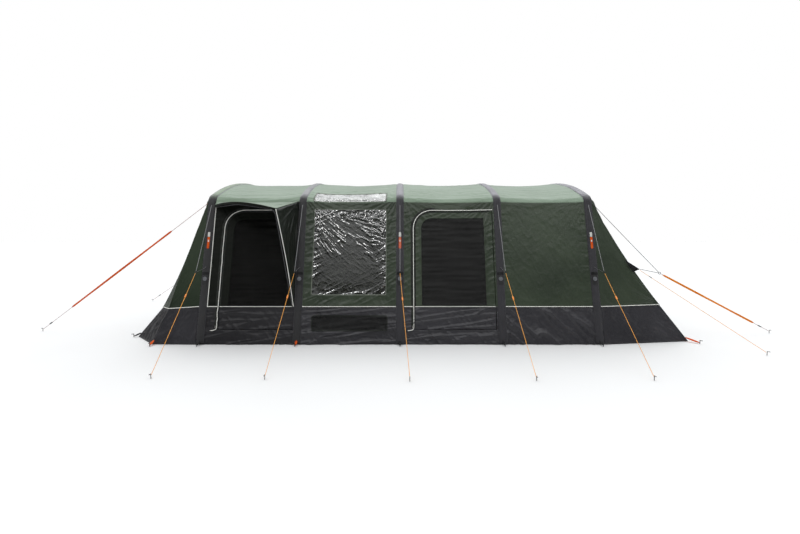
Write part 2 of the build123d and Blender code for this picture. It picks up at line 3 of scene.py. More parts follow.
import bmesh
import bpy
import numpy as np
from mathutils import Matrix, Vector


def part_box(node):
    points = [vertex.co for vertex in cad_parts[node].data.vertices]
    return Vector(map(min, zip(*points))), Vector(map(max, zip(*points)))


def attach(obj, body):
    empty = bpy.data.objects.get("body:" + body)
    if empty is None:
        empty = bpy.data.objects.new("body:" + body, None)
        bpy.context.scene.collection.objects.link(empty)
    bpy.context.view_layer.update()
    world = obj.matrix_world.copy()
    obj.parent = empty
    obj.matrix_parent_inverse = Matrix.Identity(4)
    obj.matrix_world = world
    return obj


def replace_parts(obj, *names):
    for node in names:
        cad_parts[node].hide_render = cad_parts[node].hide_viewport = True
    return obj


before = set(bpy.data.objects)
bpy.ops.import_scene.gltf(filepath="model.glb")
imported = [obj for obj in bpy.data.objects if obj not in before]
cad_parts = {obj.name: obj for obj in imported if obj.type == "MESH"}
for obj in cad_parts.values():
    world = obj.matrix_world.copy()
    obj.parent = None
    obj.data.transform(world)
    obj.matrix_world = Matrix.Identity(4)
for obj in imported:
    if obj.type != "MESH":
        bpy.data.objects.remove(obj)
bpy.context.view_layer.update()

# ---------------------------------------------------------------- dimensions, in metres
# The tunnel's outline, as in the CAD frame: legs lean in, a bend at the eave, an arched roof.
BEAM_X = [sum(c.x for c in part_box(f"air_beam_{i}")) / 2 for i in range(1, 6)]
LEAN = math.radians(15)
HALF_WIDTH = 1.930
EAVE_Z = 1.828
APEX_Z = 2.150
BEND = 0.140
FABRIC_DEPTH = 0.0045
SLEEVE_HALF = 0.041
END_OVERHANG = 0.050
MUD_TOP = 0.450
MUD_LAP = 0.0045
WALL_TOP = 1.765
SHELL = 0.0016
TAPE_THICK = 0.0009
FILM_THICK = 0.0008

FRONT_TOP = ((-2.874, -1.800, 0.420), (-3.120, -1.500, 0.390))
FRONT_GROUND = ((-3.040, -1.910, 0.0), (-3.447, -1.535, 0.0))
REAR_TOP = ((3.300, -1.680, 0.450),)
REAR_GROUND = ((3.630, -1.770, 0.0),)

# Openings in the walls: low x, high x, low z, high z
PORCH_DOOR = (-2.250, -1.330, 0.175, 1.660)
PORCH_MESH = (-2.150, -1.400, 0.450, 1.560)
SIDE_DOOR = (0.180, 1.195, 0.175, 1.655)
SIDE_MESH = (0.262, 1.092, 0.450, 1.570)
WINDOW = (-1.112, -0.174, 0.590, 1.680)
LOW_VENT = (-1.090, -0.160, 0.163, 0.340)
FAR_SPARE = (-2.330, -1.400, 0.590, 1.680)
SKYLIGHT = (-1.127, -0.180, 1.780, 1.925)
DOOR_CORNER = 0.235
MESH_CORNER = 0.150
DOOR_GAP = 0.005
PANE_GAP = 0.0008
SEAM = 0.0006

# Grid steps of the cloth, and the size of the white piping
STEP = 0.016
FINE_STEP = STEP * 0.66
PIPING_RADIUS = 0.0045
PIPING_UP = 0.005


def unit(v):
    return np.clip(v, 0, 1)


# ---------------------------------------------------------------- the tunnel's surface
class Outline:
    """The cross-section by arc length: from the near foot up the leg, over the roof, to the far foot."""

    def __init__(self):
        eave_y = HALF_WIDTH - EAVE_Z * math.tan(LEAN)
        rise = APEX_Z - EAVE_Z
        self.radius = (eave_y**2 + rise**2) / (2 * rise)
        self.roof_z = APEX_Z - self.radius
        cos, sin = math.cos(LEAN), math.sin(LEAN)
        start = np.array([HALF_WIDTH - BEND * cos, -BEND * sin])
        up = np.array([-sin, cos])
        rel = start - np.array([0, self.roof_z])
        reach = self.radius - BEND
        half = rel @ up
        self.leg = -half + math.sqrt(half**2 - rel @ rel + reach**2)
        self.centre = start + up * self.leg
        to_roof = self.centre - np.array([0, self.roof_z])
        self.roof_angle = math.atan2(to_roof[0], to_roof[1])
        self.turn = math.pi / 2 - LEAN - self.roof_angle
        self.eave = self.leg + BEND * self.turn
        self.total = 2 * (self.eave + self.radius * self.roof_angle)

    def at(self, s):
        """Y, Z and outward normal at arc length s."""
        s = np.asarray(s, float)
        side = np.where(s < self.total / 2, -1.0, 1.0)
        near = np.minimum(s, self.total - s)
        cos, sin = math.cos(LEAN), math.sin(LEAN)
        bend = np.clip((near - self.leg) / BEND, 0, self.turn)
        roof = np.clip((near - self.eave) / self.radius, 0, self.roof_angle)
        tilt = LEAN + bend + roof
        on_leg = near <= self.leg
        on_bend = near <= self.eave
        out, up = np.cos(tilt), np.sin(tilt)
        y = np.where(on_bend, self.centre[0] + BEND * out, self.radius * out)
        z = np.where(on_bend, self.centre[1] + BEND * up, self.roof_z + self.radius * up)
        y = np.where(on_leg, HALF_WIDTH - near * sin, y)
        z = np.where(on_leg, near * cos, z)
        return side * y, z, side * out, up


OUTLINE = Outline()
MIDDLE = OUTLINE.total / 2
LIFT = 1 / math.cos(LEAN)
MUD_S, WALL_S = MUD_TOP * LIFT, WALL_TOP * LIFT
SAG_AT = (0, MUD_S, 1.15, OUTLINE.leg, OUTLINE.eave + 0.25, MIDDLE)
SAG_BY = (0, 0.006, 0.020, 0.040, 0.040, 0.026)


def nearest(s):
    """Arc length from the nearer foot."""
    return np.minimum(s, OUTLINE.total - s)


def sag(x, s):
    """How far the fabric pulls in between two beams."""
    x = np.asarray(x, float)
    near = nearest(s)
    share = np.zeros(np.broadcast(x, s).shape)
    for a, b in zip(BEAM_X, BEAM_X[1:]):
        t = unit((x - a) / (b - a))
        share = np.maximum(share, (4 * t * (1 - t)) ** 0.8)
    return share * np.interp(near, SAG_AT, SAG_BY)


def along_tunnel(x, s, out):
    """Points at out from the beams' own outline."""
    y, z, ny, nz = OUTLINE.at(s)
    return np.stack([x + 0 * y, y + ny * out, z + nz * out], -1)


def tunnel(x, s, out):
    """Points on the flysheet's surface, moved outward by out."""
    x, s = np.broadcast_arrays(np.asarray(x, float), np.asarray(s, float))
    return along_tunnel(x, s, out - FABRIC_DEPTH - sag(x, s))


# ---------------------------------------------------------------- wrinkles
def hashed(i, j, seed):
    """Repeatable random numbers from 0 to 1 on a lattice."""
    h = (i.astype(np.int64) * 374761393 + j.astype(np.int64) * 668265263 + seed * 974634777) & 0xFFFFFFFF
    h = ((h ^ (h >> 13)) * 1274126177) & 0xFFFFFFFF
    return ((h ^ (h >> 16)) & 0xFFFF) / 65535.0


def noise(u, v, seed=0):
    """Smooth value noise from -1 to 1."""
    i, j = np.floor(u), np.floor(v)
    fu, fv = u - i, v - j
    fu, fv = fu * fu * (3 - 2 * fu), fv * fv * (3 - 2 * fv)
    a, b = hashed(i, j, seed), hashed(i + 1, j, seed)
    c, d = hashed(i, j + 1, seed), hashed(i + 1, j + 1, seed)
    return 2 * ((a * (1 - fu) + b * fu) * (1 - fv) + (c * (1 - fu) + d * fu) * fv) - 1


def ridged(n):
    """Turns smooth noise into narrow ridges between broad hollows."""
    return 1.3 * np.exp(-np.abs(n) * 5) - 0.45


def streaks(x, y, angle, along, across, seed):
    """Folds that run at an angle, each about along by across in size."""
    a = math.radians(angle)
    u = (x * math.cos(a) + y * math.sin(a)) / along
    v = (-x * math.sin(a) + y * math.cos(a)) / across
    wander = 0.5 * noise(u * 0.7, v * 0.25, seed + 5)
    return noise(u, v + wander, seed) + 0.45 * noise(u * 1.9, v * 2.1 + wander, seed + 1)


def fan(x, y, cx, cy, fade, seed, count):
    """Folds that radiate from a tight point."""
    r = np.hypot(x - cx, y - cy)
    t = np.arctan2(y - cy, x - cx)
    lines = ridged(noise(t * count / math.pi, r * 1.3, seed)) + 0.4 * noise(t * count / 1.3, r * 2.5, seed + 9)
    return lines * np.exp(-r / fade) * unit(r / 0.05)


# ---------------------------------------------------------------- mesh making
def linked(name, data):
    """A new object in the scene for data."""
    made = bpy.data.objects.new(name, data)
    bpy.context.scene.collection.objects.link(made)
    return made


def new_object(name, verts, faces, uvs=None, smooth=True):
    mesh = bpy.data.meshes.new(name)
    mesh.from_pydata([tuple(v) for v in verts], [], [tuple(f) for f in faces])
    if uvs is not None:
        layer = mesh.uv_layers.new(name="cloth")
        corner = np.empty(len(mesh.loops), np.int32)
        mesh.loops.foreach_get("vertex_index", corner)
        layer.data.foreach_set("uv", np.asarray(uvs, np.float32)[corner].ravel())
    if smooth:
        mesh.polygons.foreach_set("use_smooth", np.ones(len(mesh.polygons), bool))
    mesh.update()
    return linked(name, mesh)


def quads(rows, cols, flip=False):
    """Faces over a grid of points, rows by columns."""
    i, j = np.meshgrid(np.arange(rows - 1), np.arange(cols - 1), indexing="ij")
    a = (i * cols + j).ravel()
    order = [a, a + 1, a + cols + 1, a + cols]
    return np.stack(order[::-1] if flip else order, 1)


def grid_object(name, points, u, v, flip=False):
    """A sheet over a grid of points, with u and v as its flat coordinates."""
    faces = quads(*points.shape[:2], flip)
    return new_object(name, points.reshape(-1, 3), faces, np.stack([u, v], -1).reshape(-1, 2))


def walked(line):
    """How far along a line of points each of them is."""
    return np.concatenate([[0], np.cumsum(np.linalg.norm(np.diff(line, axis=0), axis=1))])


def some_faces(name, points, faces, uvs):
    """A sheet of only some of a grid's faces, without the points that they leave over."""
    used = np.unique(faces)
    index = np.zeros(len(points), int)
    index[used] = np.arange(len(used))
    return new_object(name, points[used], index[faces], uvs[used])


def solidify(piece, thick):
    modifier = piece.modifiers.new("thickness", "SOLIDIFY")
    modifier.thickness = thick
    modifier.offset = -1


def finish_piece(piece, material, body, replaces=()):
    """Gives a piece its material, body and the CAD nodes it stands for."""
    piece.data.materials.clear()
    piece.data.materials.append(material)
    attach(piece, body)
    if replaces:
        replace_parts(piece, *replaces)
    return piece


def trim(piece, material, body="root"):
    """Finishes a tape or a strip that is sewn on."""
    solidify(piece, TAPE_THICK)
    finish_piece(piece, material, body)


def lines_between(a, b, step, stops=()):
    """Grid lines from a to b about a step apart, with one on each stop."""
    marks = [a, *sorted({v for v in stops if a < v < b}), b]
    found = [a]
    for p, q in zip(marks, marks[1:]):
        count = max(1, round((q - p) / step))
        found.extend(p + (q - p) * k / count for k in range(1, count + 1))
    return np.array(found)


def in_hole(x, s, hole):
    """Whether points lie in a hole: a rectangle whose top corner at its low x is rounded."""
    (x0, x1, s0, s1), r = hole
    beyond_arc = (x < x0 + r) & (s > s1 - r) & (np.hypot(x - x0 - r, s - s1 + r) > r)
    return (x > x0) & (x < x1) & (s > s0) & (s < s1) & ~beyond_arc


def snap_to_corner(x, s, hole, reach):
    """Moves grid points near a hole's rounded corner onto its arc."""
    (x0, _, _, s1), r = hole
    if not r:
        return x, s
    cx, cs = x0 + r, s1 - r
    dx, ds = x - cx, s - cs
    d = np.hypot(dx, ds)
    near = (dx <= 1e-6) & (ds >= -1e-6) & (np.abs(d - r) < reach) & (d > 1e-6)
    scale = np.where(near, r / np.maximum(d, 1e-6), 1)
    return cx + dx * scale, cs + ds * scale


def cloth_grid(name, box, steps, place, holes=(), keep=None):
    """A sheet over box, its grid about steps apart: place(x, s) gives its points. Holes are left out."""
    x_step, s_step = steps if isinstance(steps, tuple) else (steps, steps)
    cuts = [*holes, keep] if keep else holes
    here = [cut for cut in cuts if box[0] <= cut[0][0] < box[1]]
    xs = lines_between(*box[:2], x_step, [x for (x0, x1, _, _), r in here for x in (x0, x1, x0 + r)])
    ss = lines_between(*box[2:], s_step, [s for (_, _, s0, s1), r in here for s in (s0, s1, s1 - r)])
    gx, gs = np.meshgrid(xs, ss)
    reach = 0.5 * max(np.diff(xs).max(), np.diff(ss).max())
    for hole in cuts:
        gx, gs = snap_to_corner(gx, gs, hole, reach)
    points = place(gx, gs).reshape(-1, 3)
    faces = quads(len(ss), len(xs))
    fx, fs = gx.ravel()[faces].mean(1), gs.ravel()[faces].mean(1)
    wanted = np.ones(len(faces), bool)
    for hole in holes:
        wanted &= ~in_hole(fx, fs, hole)
    if keep:
        wanted &= in_hole(fx, fs, keep)
    return some_faces(name, points, faces[wanted], np.stack([gx.ravel(), gs.ravel()], 1))


def slope_box(box, gap=0.0):
    """A wall opening's box with its heights taken up the slope."""
    return (box[0] + gap, box[1] - gap, box[2] * LIFT + gap, box[3] * LIFT - gap)


def tube(name, points, radius, material, body="root"):
    """Round bead along points, as a curve with a bevel."""
    curve = bpy.data.curves.new(name, "CURVE")
    curve.dimensions = "3D"
    curve.bevel_depth = radius
    curve.bevel_resolution = 3
    curve.resolution_u = 6
    curve.use_fill_caps = True
    spline = curve.splines.new("NURBS")
    spline.points.add(len(points) - 1)
    for point, p in zip(spline.points, points):
        point.co = (*[float(c) for c in p], 1)
    spline.order_u = 3
    spline.use_endpoint_u = True
    return finish_piece(linked(name, curve), material, body)


# ---------------------------------------------------------------- camera
camera_data = bpy.data.cameras.new("camera")
camera_data.lens = 18.07
camera_data.sensor_width = 36
camera_data.clip_end = 200
camera = linked("camera", camera_data)
camera.location = (0, -6.735, 1.35)
camera.rotation_euler = (math.radians(90 - 4.73), 0, 0)
bpy.context.scene.camera = camera


# ---------------------------------------------------------------- materials
class Tree:
    """A node tree, with short calls for the nodes used here."""

    def __init__(self, tree):
        self.tree = tree

    def link(self, a, b):
        self.tree.links.new(a, b)

    def add(self, kind, output, inputs, **settings):
        """A new node with its settings, and its inputs given as values or as sockets to link."""
        node = self.tree.nodes.new("ShaderNode" + kind)
        for key, value in settings.items():
            setattr(node, key, value)
        for key, value in inputs.items():
            if isinstance(value, bpy.types.NodeSocket):
                self.link(value, node.inputs[key])
            else:
                node.inputs[key].default_value = value
        return node.outputs[output]

    def maths(self, operation, a, b):
        return self.add("Math", 0, {0: a, 1: b}, operation=operation)

    def axis(self, vector, index):
        return self.add("SeparateXYZ", index, {0: vector})

    def span(self, value, low, high, to_low=0.0, to_high=1.0):
        ends = {"From Min": low, "From Max": high, "To Min": to_low, "To Max": to_high}
        return self.add("MapRange", "Result", {**ends, "Value": value})


class Nodes(Tree):
    """A material: its node tree around one Principled shader."""

    def __init__(self, name):
        self.material = bpy.data.materials.new(name)
        self.material.use_nodes = True
        super().__init__(self.material.node_tree)
        self.shader = self.tree.nodes["Principled BSDF"]
        self.place = self.add("TexCoord", "Object", {})

    def shader_values(self, **values):
        for key, value in values.items():
            self.shader.inputs[key.replace("_", " ")].default_value = value

    def cloth_place(self):
        return self.add("UVMap", "UV", {}, uv_map="cloth")

    def scaled(self, vector, scale, turn=0.0):
        return self.add("Mapping", "Vector", {"Scale": scale, "Rotation": (0, 0, turn), "Vector": vector})

    def noise(self, scale, detail=3.0, vector=None, rough=0.5):
        values = {"Scale": scale, "Detail": detail, "Roughness": rough, "Vector": vector or self.place}
        return self.add("TexNoise", "Fac", values)

    def wave(self, scale, vector, direction, distortion=0.0):
        values = {"Scale": scale, "Distortion": distortion, "Vector": vector}
        return self.add("TexWave", "Fac", values, bands_direction=direction)

    def ramp(self, value, low, low_colour, high, high_colour):
        node = self.tree.nodes.new("ShaderNodeValToRGB")
        for element, at, colour in zip(node.color_ramp.elements, (low, high), (low_colour, high_colour)):
            element.position = at
            element.color = (*colour, 1)
        self.link(value, node.inputs["Fac"])
        return node.outputs["Color"]

    def mix(self, factor, a, b):
        a, b = ((*v, 1) if isinstance(v, tuple) else v for v in (a, b))
        return self.add("Mix", 2, {0: factor, 6: a, 7: b}, data_type="RGBA")

    def colour(self, socket):
        self.link(socket, self.shader.inputs["Base Color"])

    def drive(self, input_name, value, *ends):
        """Links a value, spread over the range that ends gives, to one of the shader's inputs."""
        self.link(self.span(value, *ends), self.shader.inputs[input_name])

    def rough(self, value, low, high):
        self.drive("Roughness", value, 0, 1, low, high)

    def bump(self, *layers):
        under = {}
        for height, strength, distance in layers:
            values = {"Strength": strength, "Distance": distance, "Height": height, **under}
            under = {"Normal": self.add("Bump", "Normal", values)}
        self.link(under["Normal"], self.shader.inputs["Normal"])


def linear(*rgb):
    """A colour given as it looks on screen, 0 to 255, as linear light."""
    return tuple(((v / 255 + 0.055) / 1.055) ** 2.4 if v > 10 else v / 255 / 12.92 for v in rgb)


def tinted(colour, by, plus=0.0):
    return tuple(min(1, c * by + plus) for c in colour)


def weave_of(made):
    """Crossing threads, finer than a millimetre, from the cloth's own flat coordinates."""
    place, count = made.cloth_place(), 420.0
    return made.maths("ADD", made.wave(count, place, "X"), made.wave(count, place, "Y"))


def woven(name, low, high, sheen, rough, crease, dirt=0.12, specular=0.4):
    """Coated polyester: fine weave, faint creases, cloudy colour between low and high."""
    made, low, high = Nodes(name), linear(*low), linear(*high)
    clouds = made.noise(1.6, 5)
    base = made.ramp(clouds, 0.32, low, 0.68, high)
    threads = weave_of(made)
    base = made.mix(made.span(threads, 0, 2, 0, 0.10), base, tinted(low, 0.55))
    marks = made.noise(9, 6, rough=0.65)
    base = made.mix(made.span(marks, 0.52, 0.8, 0, dirt), base, tinted(high, 1.6, 0.01))
    made.colour(base)
    made.rough(clouds, *rough)
    made.shader_values(Specular_IOR_Level=specular, Sheen_Weight=sheen, Sheen_Roughness=0.45)
    creases = made.noise(14, 6, rough=0.6)
    made.bump((creases, crease, 0.012), (made.noise(70, 4), crease * 0.6, 0.002), (threads, 0.25, 0.0004))
    return made.material


def sleeve_cloth(name, lit_top_low, lit_top_high, shaded_leg_low=(24, 23, 28), shaded_leg_high=(37, 36, 42)):
    """Sleeve cloth: dark on the legs and light over the roof; the dark legs are painted shade and the light top is
    painted light from overhead.
    """
    made = Nodes(name)
    up = made.axis(made.cloth_place(), 1)
    from_top = made.maths("ABSOLUTE", made.maths("SUBTRACT", up, MIDDLE), 0)
    wander = made.maths("MULTIPLY", made.noise(5, 4), 0.12)
    # Painted shade: below the eave the colour turns to the dark leg tones; above it the light top tones are painted
    # light.
    on_leg = made.span(made.maths("ADD", from_top, wander), MIDDLE - 1.97, MIDDLE - 1.80)
    leg = made.ramp(made.noise(4, 5), 0.3, linear(*shaded_leg_low), 0.7, linear(*shaded_leg_high))
    top = made.ramp(made.noise(3, 5), 0.3, linear(*lit_top_low), 0.7, linear(*lit_top_high))
    threads = weave_of(made)
    base = made.mix(on_leg, top, leg)
    made.colour(made.mix(made.span(threads, 0, 2, 0, 0.14), base, linear(40, 38, 46)))
    made.rough(made.noise(8), 0.5, 0.68)
    made.shader_values(Sheen_Weight=0.2, Sheen_Roughness=0.5)
    made.bump((made.noise(24, 5), 0.4, 0.008), (made.noise(90, 3), 0.3, 0.002), (threads, 0.3, 0.0004))
    return made.material


def film(name, tint, alpha, rough, see_through=False, spread=1.35, ior=2.4):
    """Vinyl film: creased, glossy and cloudy. The window that is seen through has only faint bumps."""
    made, tint = Nodes(name), linear(*tint)
    cloudy = made.noise(3.5, 5)
    # Clouds run from the tint to spread times as light; with the roof window's wide spread they are painted
    # reflection.
    made.colour(made.ramp(cloudy, 0.3, tint, 0.75, tinted(tint, spread)))
    made.drive("Alpha", cloudy, 0.3, 0.7, alpha * 0.85, alpha * 1.2)
    made.rough(made.noise(10), rough * 0.6, rough * 1.7)
    made.shader_values(IOR=ior, Specular_IOR_Level=1.0, Coat_Weight=1.0, Coat_Roughness=0.04)
    if see_through:
        made.bump((made.noise(46, 3), 0.12, 0.0015), (made.noise(7, 3), 0.2, 0.008))
    else:
        skew = made.scaled(made.cloth_place(), (3.0, 30.0, 1.0), math.radians(26))
        made.bump((made.noise(1.4, 5, skew, 0.6), 0.45, 0.014), (made.noise(26, 4), 0.2, 0.003))
    return made.material


def netting(name, colour, alpha, specular=0.3):
    """Fine insect mesh: a grid of dark threads with holes between them."""
    made, colour = Nodes(name), linear(*colour)
    place = made.cloth_place()
    grid = made.maths("MAXIMUM", made.wave(330, place, "X"), made.wave(330, place, "Y"))
    made.colour(made.ramp(made.noise(3, 5), 0.3, colour, 0.7, tinted(colour, 2.2, 0.002)))
    made.drive("Alpha", grid, 0.3, 0.9, alpha - 0.16, 1.0)
    made.rough(made.noise(20), 0.6, 0.8)
    made.shader_values(Specular_IOR_Level=specular, Sheen_Weight=specular * 0.12)
    made.bump((made.noise(12, 5), 0.4, 0.01), (grid, 0.4, 0.0005))
    return made.material


def braided(name, low, high):
    """Braided cord: slanting strands, with scuffs."""
    made, low, high = Nodes(name), linear(*low), linear(*high)
    strands = made.wave(260.0, made.scaled(made.place, (1, 0.6, 1.2)), "DIAGONAL", 2)
    scuffs = made.noise(30, 4)
    base = made.mix(made.span(strands, 0, 1, 0, 0.35), high, low)
    made.colour(made.mix(made.span(scuffs, 0.4, 0.8, 0, 0.3), base, tinted(low, 0.6)))
    made.rough(scuffs, 0.55, 0.8)
    made.shader_values(Sheen_Weight=0.3)
    made.bump((strands, 0.6, 0.0012), (made.noise(300, 2), 0.3, 0.0005))
    return made.material


def webbing(name, low, high):
    """Woven strap with a ribbed face."""
    made, low, high = Nodes(name), linear(*low), linear(*high)
    place = made.cloth_place()
    both = made.maths("ADD", made.wave(150, place, "X"), made.wave(90, place, "Y"))
    base = made.ramp(made.noise(12, 4), 0.3, low, 0.7, high)
    made.colour(made.mix(made.span(both, 0.2, 2, 0, 0.35), base, tinted(low, 0.5)))
    made.rough(made.noise(25), 0.55, 0.75)
    made.shader_values(Sheen_Weight=0.04, Specular_IOR_Level=0.2)
    made.bump((both, 0.6, 0.001), (made.noise(40, 4), 0.3, 0.003))
    return made.material


def moulded(name, colour, rough, metal=0.0, grain=220):
    """Moulded plastic, or metal: fine grain, scuffs and a soft sheen."""
    made, colour = Nodes(name), linear(*colour)
    scuffs = made.noise(38, 6, rough=0.7)
    made.colour(made.ramp(scuffs, 0.35, colour, 0.78, tinted(colour, 1.5, 0.012)))
    made.rough(made.noise(60, 4), *rough)
    made.shader_values(Metallic=metal)
    made.bump((made.noise(grain, 3), 0.25, 0.0006), (scuffs, 0.2, 0.001))
    return made.material


# The roof cloth is the walls' green painted lighter: painted light where the overhead light falls and glances off it;
# its gloss is the cloth's own.
ROOF = woven("roof_lit_cloth", (110, 130, 108), (132, 150, 131), 0.08, (0.34, 0.5), 0.5, 0.12)
WALL = woven("wall_cloth", (38, 48, 34), (52, 63, 46), 0.05, (0.30, 0.46), 0.45, 0.10, 0.45)
# Darker copies of the mud and wall cloths for the porch: painted shade under the canopy.
PORCH_SHADED_MUD = woven("porch_shaded_mud_cloth", (26, 25, 28), (37, 36, 39), 0.04, (0.38, 0.55), 0.45, 0.1, 0.3)
PORCH_SHADED_CLOTH = woven("porch_shaded_cloth", (8, 11, 6), (14, 18, 11), 0.02, (0.5, 0.7), 0.4, 0.08, 0.15)
MUD = woven("mud_cloth", (31, 30, 35), (45, 44, 49), 0.05, (0.30, 0.46), 0.9, 0.14, 0.5)
# The front's side and chamfer panels take a darker copy of the wall cloth: painted shade.
FRONT_SHADED_CLOTH = woven("front_shaded_cloth", (33, 43, 30), (45, 56, 40), 0.03, (0.4, 0.55), 0.4, 0.1, 0.22)
FLOOR_CLOTH = woven("floor_cloth", (64, 66, 68), (88, 90, 92), 0.05, (0.5, 0.7), 0.5)
INNER = woven("inner_cloth", (120, 116, 108), (150, 146, 138), 0.1, (0.6, 0.8), 0.3)
# The canopy's top cloth is the walls' green painted lighter, like the roof: painted light.
CANOPY_LIT_CLOTH = woven("canopy_lit_cloth", (100, 119, 98), (122, 139, 120), 0.08, (0.34, 0.5), 0.5, 0.12)
# The wing's cloth is the walls' green made darker: painted shade.
WING_SHADED_CLOTH = woven("wing_shaded_cloth", (13, 19, 12), (21, 29, 19), 0.04, (0.24, 0.38), 0.4, 0.1, 0.5)
HEM = woven("hem_tape", (20, 23, 19), (30, 34, 28), 0.08, (0.5, 0.7), 0.5, 0.1, 0.3)
WINDOW_TAPE = woven("window_tape", (84, 90, 80), (120, 126, 114), 0.1, (0.4, 0.6), 0.5)
# Sleeves: light tops are painted light and dark legs painted shade; the first two beams' legs are darker still,
# painted shade beside the porch.
SLEEVE = sleeve_cloth("sleeve_cloth", (126, 125, 131), (150, 149, 155))
SECOND_SLEEVE = sleeve_cloth("second_sleeve_cloth", (128, 129, 131), (152, 153, 155), (14, 14, 15), (24, 24, 26))
PORCH_SLEEVE = sleeve_cloth("porch_sleeve_cloth", (118, 136, 112), (142, 158, 135), (14, 14, 15), (24, 24, 26))
# The clear window's film is tinted dark and mostly opaque: painted shade of the dark inside, which shows through it
# only in part.
CLEAR = film("clear_film", (32, 34, 27), 0.72, 0.05, True, ior=1.85)
BLIND = film("blind_film", (30, 32, 29), 0.95, 0.14, spread=2.4, ior=1.85)
# The roof window's film is tinted light grey with bright clouds: painted reflection of the light glancing off it,
# over the film's own gloss.
ROOF_FILM = film("roof_film", (104, 106, 102), 0.78, 0.10, spread=4.0)
NET = netting("insect_net", (9, 9, 8), 0.94)
# The porch door's net is a darker, less glossy copy of the insect net: painted shade under the canopy.
PORCH_SHADED_NET = netting("porch_shaded_net", (6, 6, 5), 0.97, 0.10)
VENT_NET = netting("vent_net", (9, 9, 9), 0.97)
TUBE = moulded("air_tube", (172, 170, 162), (0.35, 0.5), 0, 30)
INNER_TAPE = woven("inner_tape", (70, 68, 64), (92, 90, 86), 0.1, (0.6, 0.8), 0.3)
PIPING_WHITE = webbing("white_piping", (226, 226, 219), (244, 244, 238))
POCKET = woven("pocket_cloth", (22, 22, 24), (36, 36, 38), 0.15, (0.4, 0.6), 0.5)
CAP = moulded("valve_cap", (84, 86, 90), (0.3, 0.5))
ORANGE_PLASTIC = moulded("orange_plastic", (226, 128, 36), (0.3, 0.45))
BLACK = moulded("black_plastic", (20, 20, 21), (0.25, 0.45))
STEEL = moulded("peg_steel", (132, 130, 127), (0.3, 0.5), 0.6, 120)
ROD = moulded("canopy_rod", (44, 44, 46), (0.35, 0.5))
ORANGE_CORD = braided("orange_cord", (238, 140, 20), (254, 176, 56))
DARK_CORD = braided("dark_cord", (10, 10, 11), (22, 22, 23))
GREY_CORD = braided("grey_cord", (96, 96, 98), (150, 150, 152))
ORANGE_WEB = webbing("orange_webbing", (214, 78, 4), (234, 98, 10))
AMBER_WEB = webbing("amber_webbing", (246, 128, 4), (255, 154, 14))
RED_CORD = braided("red_cord", (104, 24, 6), (140, 42, 14))
TAB_WHITE = webbing("white_tab", (206, 206, 200), (232, 232, 226))
BLACK_WEB = webbing("black_webbing", (18, 18, 19), (34, 34, 36))


def piping(name, line, radius=PIPING_RADIUS, body="root"):
    return tube(name, line, radius, PIPING_WHITE, body)


# ---------------------------------------------------------------- cords
# The same points as the CAD's lines. Near side; the far side is its mirror image.
SIDES = (("near", -1), ("far", 1))
RING_Y, RING_Z = 1.950, 0.890
PEG_Y = (3.070, 3.100, 3.150, 3.135, 3.120)
PEG_SHIFT = (0.110, 0.006, 0.090, -0.006, -0.093)
HUB = 0.0195
HOLD_Z = 0.0315
HOLD_BACK = 0.0085
FRONT_PEG = (-4.962, -1.246, 0)
REAR_PEG = (5.026, -1.359, 0)
CORNER_PEG = (4.093, -2.353, 0)
BESIDE_BEAM = 0.052
HIGH_TAB_Z = 1.738
REAR_JOIN = (3.438, -1.440, 0.830)
REAR_TAB_TIP = Vector((3.055, -1.636, 0.900))
WEB_THICK = 0.008


def on_wall(x, z, out):
    """A point on the near leg's line at height z, moved outward."""
    cos, sin = math.cos(LEAN), math.sin(LEAN)
    return Vector((x, -HALF_WIDTH + z / cos * sin - out * cos, z + out * sin))


def to_side(p, side):
    """A near point, or its mirror image on the far side."""
    return Vector((p[0], -side * p[1], p[2]))


def towards(a, b, distance):
    return a + (b - a).normalized() * distance


def hold_on(peg, start):
    """Where a line from start holds on to the peg that goes into the ground at peg."""
    away = Vector((peg[0] - start[0], peg[1] - start[1], 0)).normalized()
    return Vector((peg[0], peg[1], HOLD_Z)) - away * HOLD_BACK


def taut(name, start, end, material, node):
    """A taut line from start to end, with the little droop that its own weight gives it."""
    diameter, slot = (0.006, "bridle") if node == "bridles" else (0.005, "cord")
    middle = (start + end) / 2 - Vector((0, 0, 0.002 * (end - start).length))
    line = tube(name, (start, middle, end), diameter / 2, material)
    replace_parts(line, node)


def ringed_faces(rows, around):
    """Faces of a closed tube: rows of rings, with a cap at either end."""
    faces = []
    for i in range(rows - 1):
        for k in range(around):
            a, b = i * around + k, i * around + (k + 1) % around
            faces.append((a, b, b + around, a + around))
    return [*faces, tuple(reversed(range(around))), tuple((rows - 1) * around + k for k in range(around))]


def flat_strap(name, start, end, width, material, node, up=(0, 0, 1), waves=0.0):
    """A flat strap from start to end, with rounded edges and a slight twist."""
    run = (end - start).normalized()
    side = run.cross(Vector(up)).normalized()
    face = side.cross(run).normalized()
    length = (end - start).length
    rows, around = max(4, int(length / 0.025)), 14
    verts, uvs = [], []
    for i in range(rows + 1):
        t = i / rows
        turn = waves * math.sin(t * 9 + len(name))
        across = side * math.cos(turn) + face * math.sin(turn)
        flat = face * math.cos(turn) - side * math.sin(turn)
        squeeze = 0.35 + 0.65 * min(1, t * length / 0.03, (1 - t) * length / 0.03)
        centre = start + run * (t * length)
        for k in range(around):
            cos, sin = math.cos(k * math.tau / around), math.sin(k * math.tau / around)
            x = math.copysign(abs(cos) ** 0.5, cos) * width / 2 * squeeze
            z = math.copysign(abs(sin) ** 0.8, sin) * WEB_THICK / 2
            verts.append(centre + across * x + flat * z)
            uvs.append((x, t * length))
    made = new_object(name, verts, ringed_faces(rows + 1, around), uvs)
    return finish_piece(made, material, "root", [node])


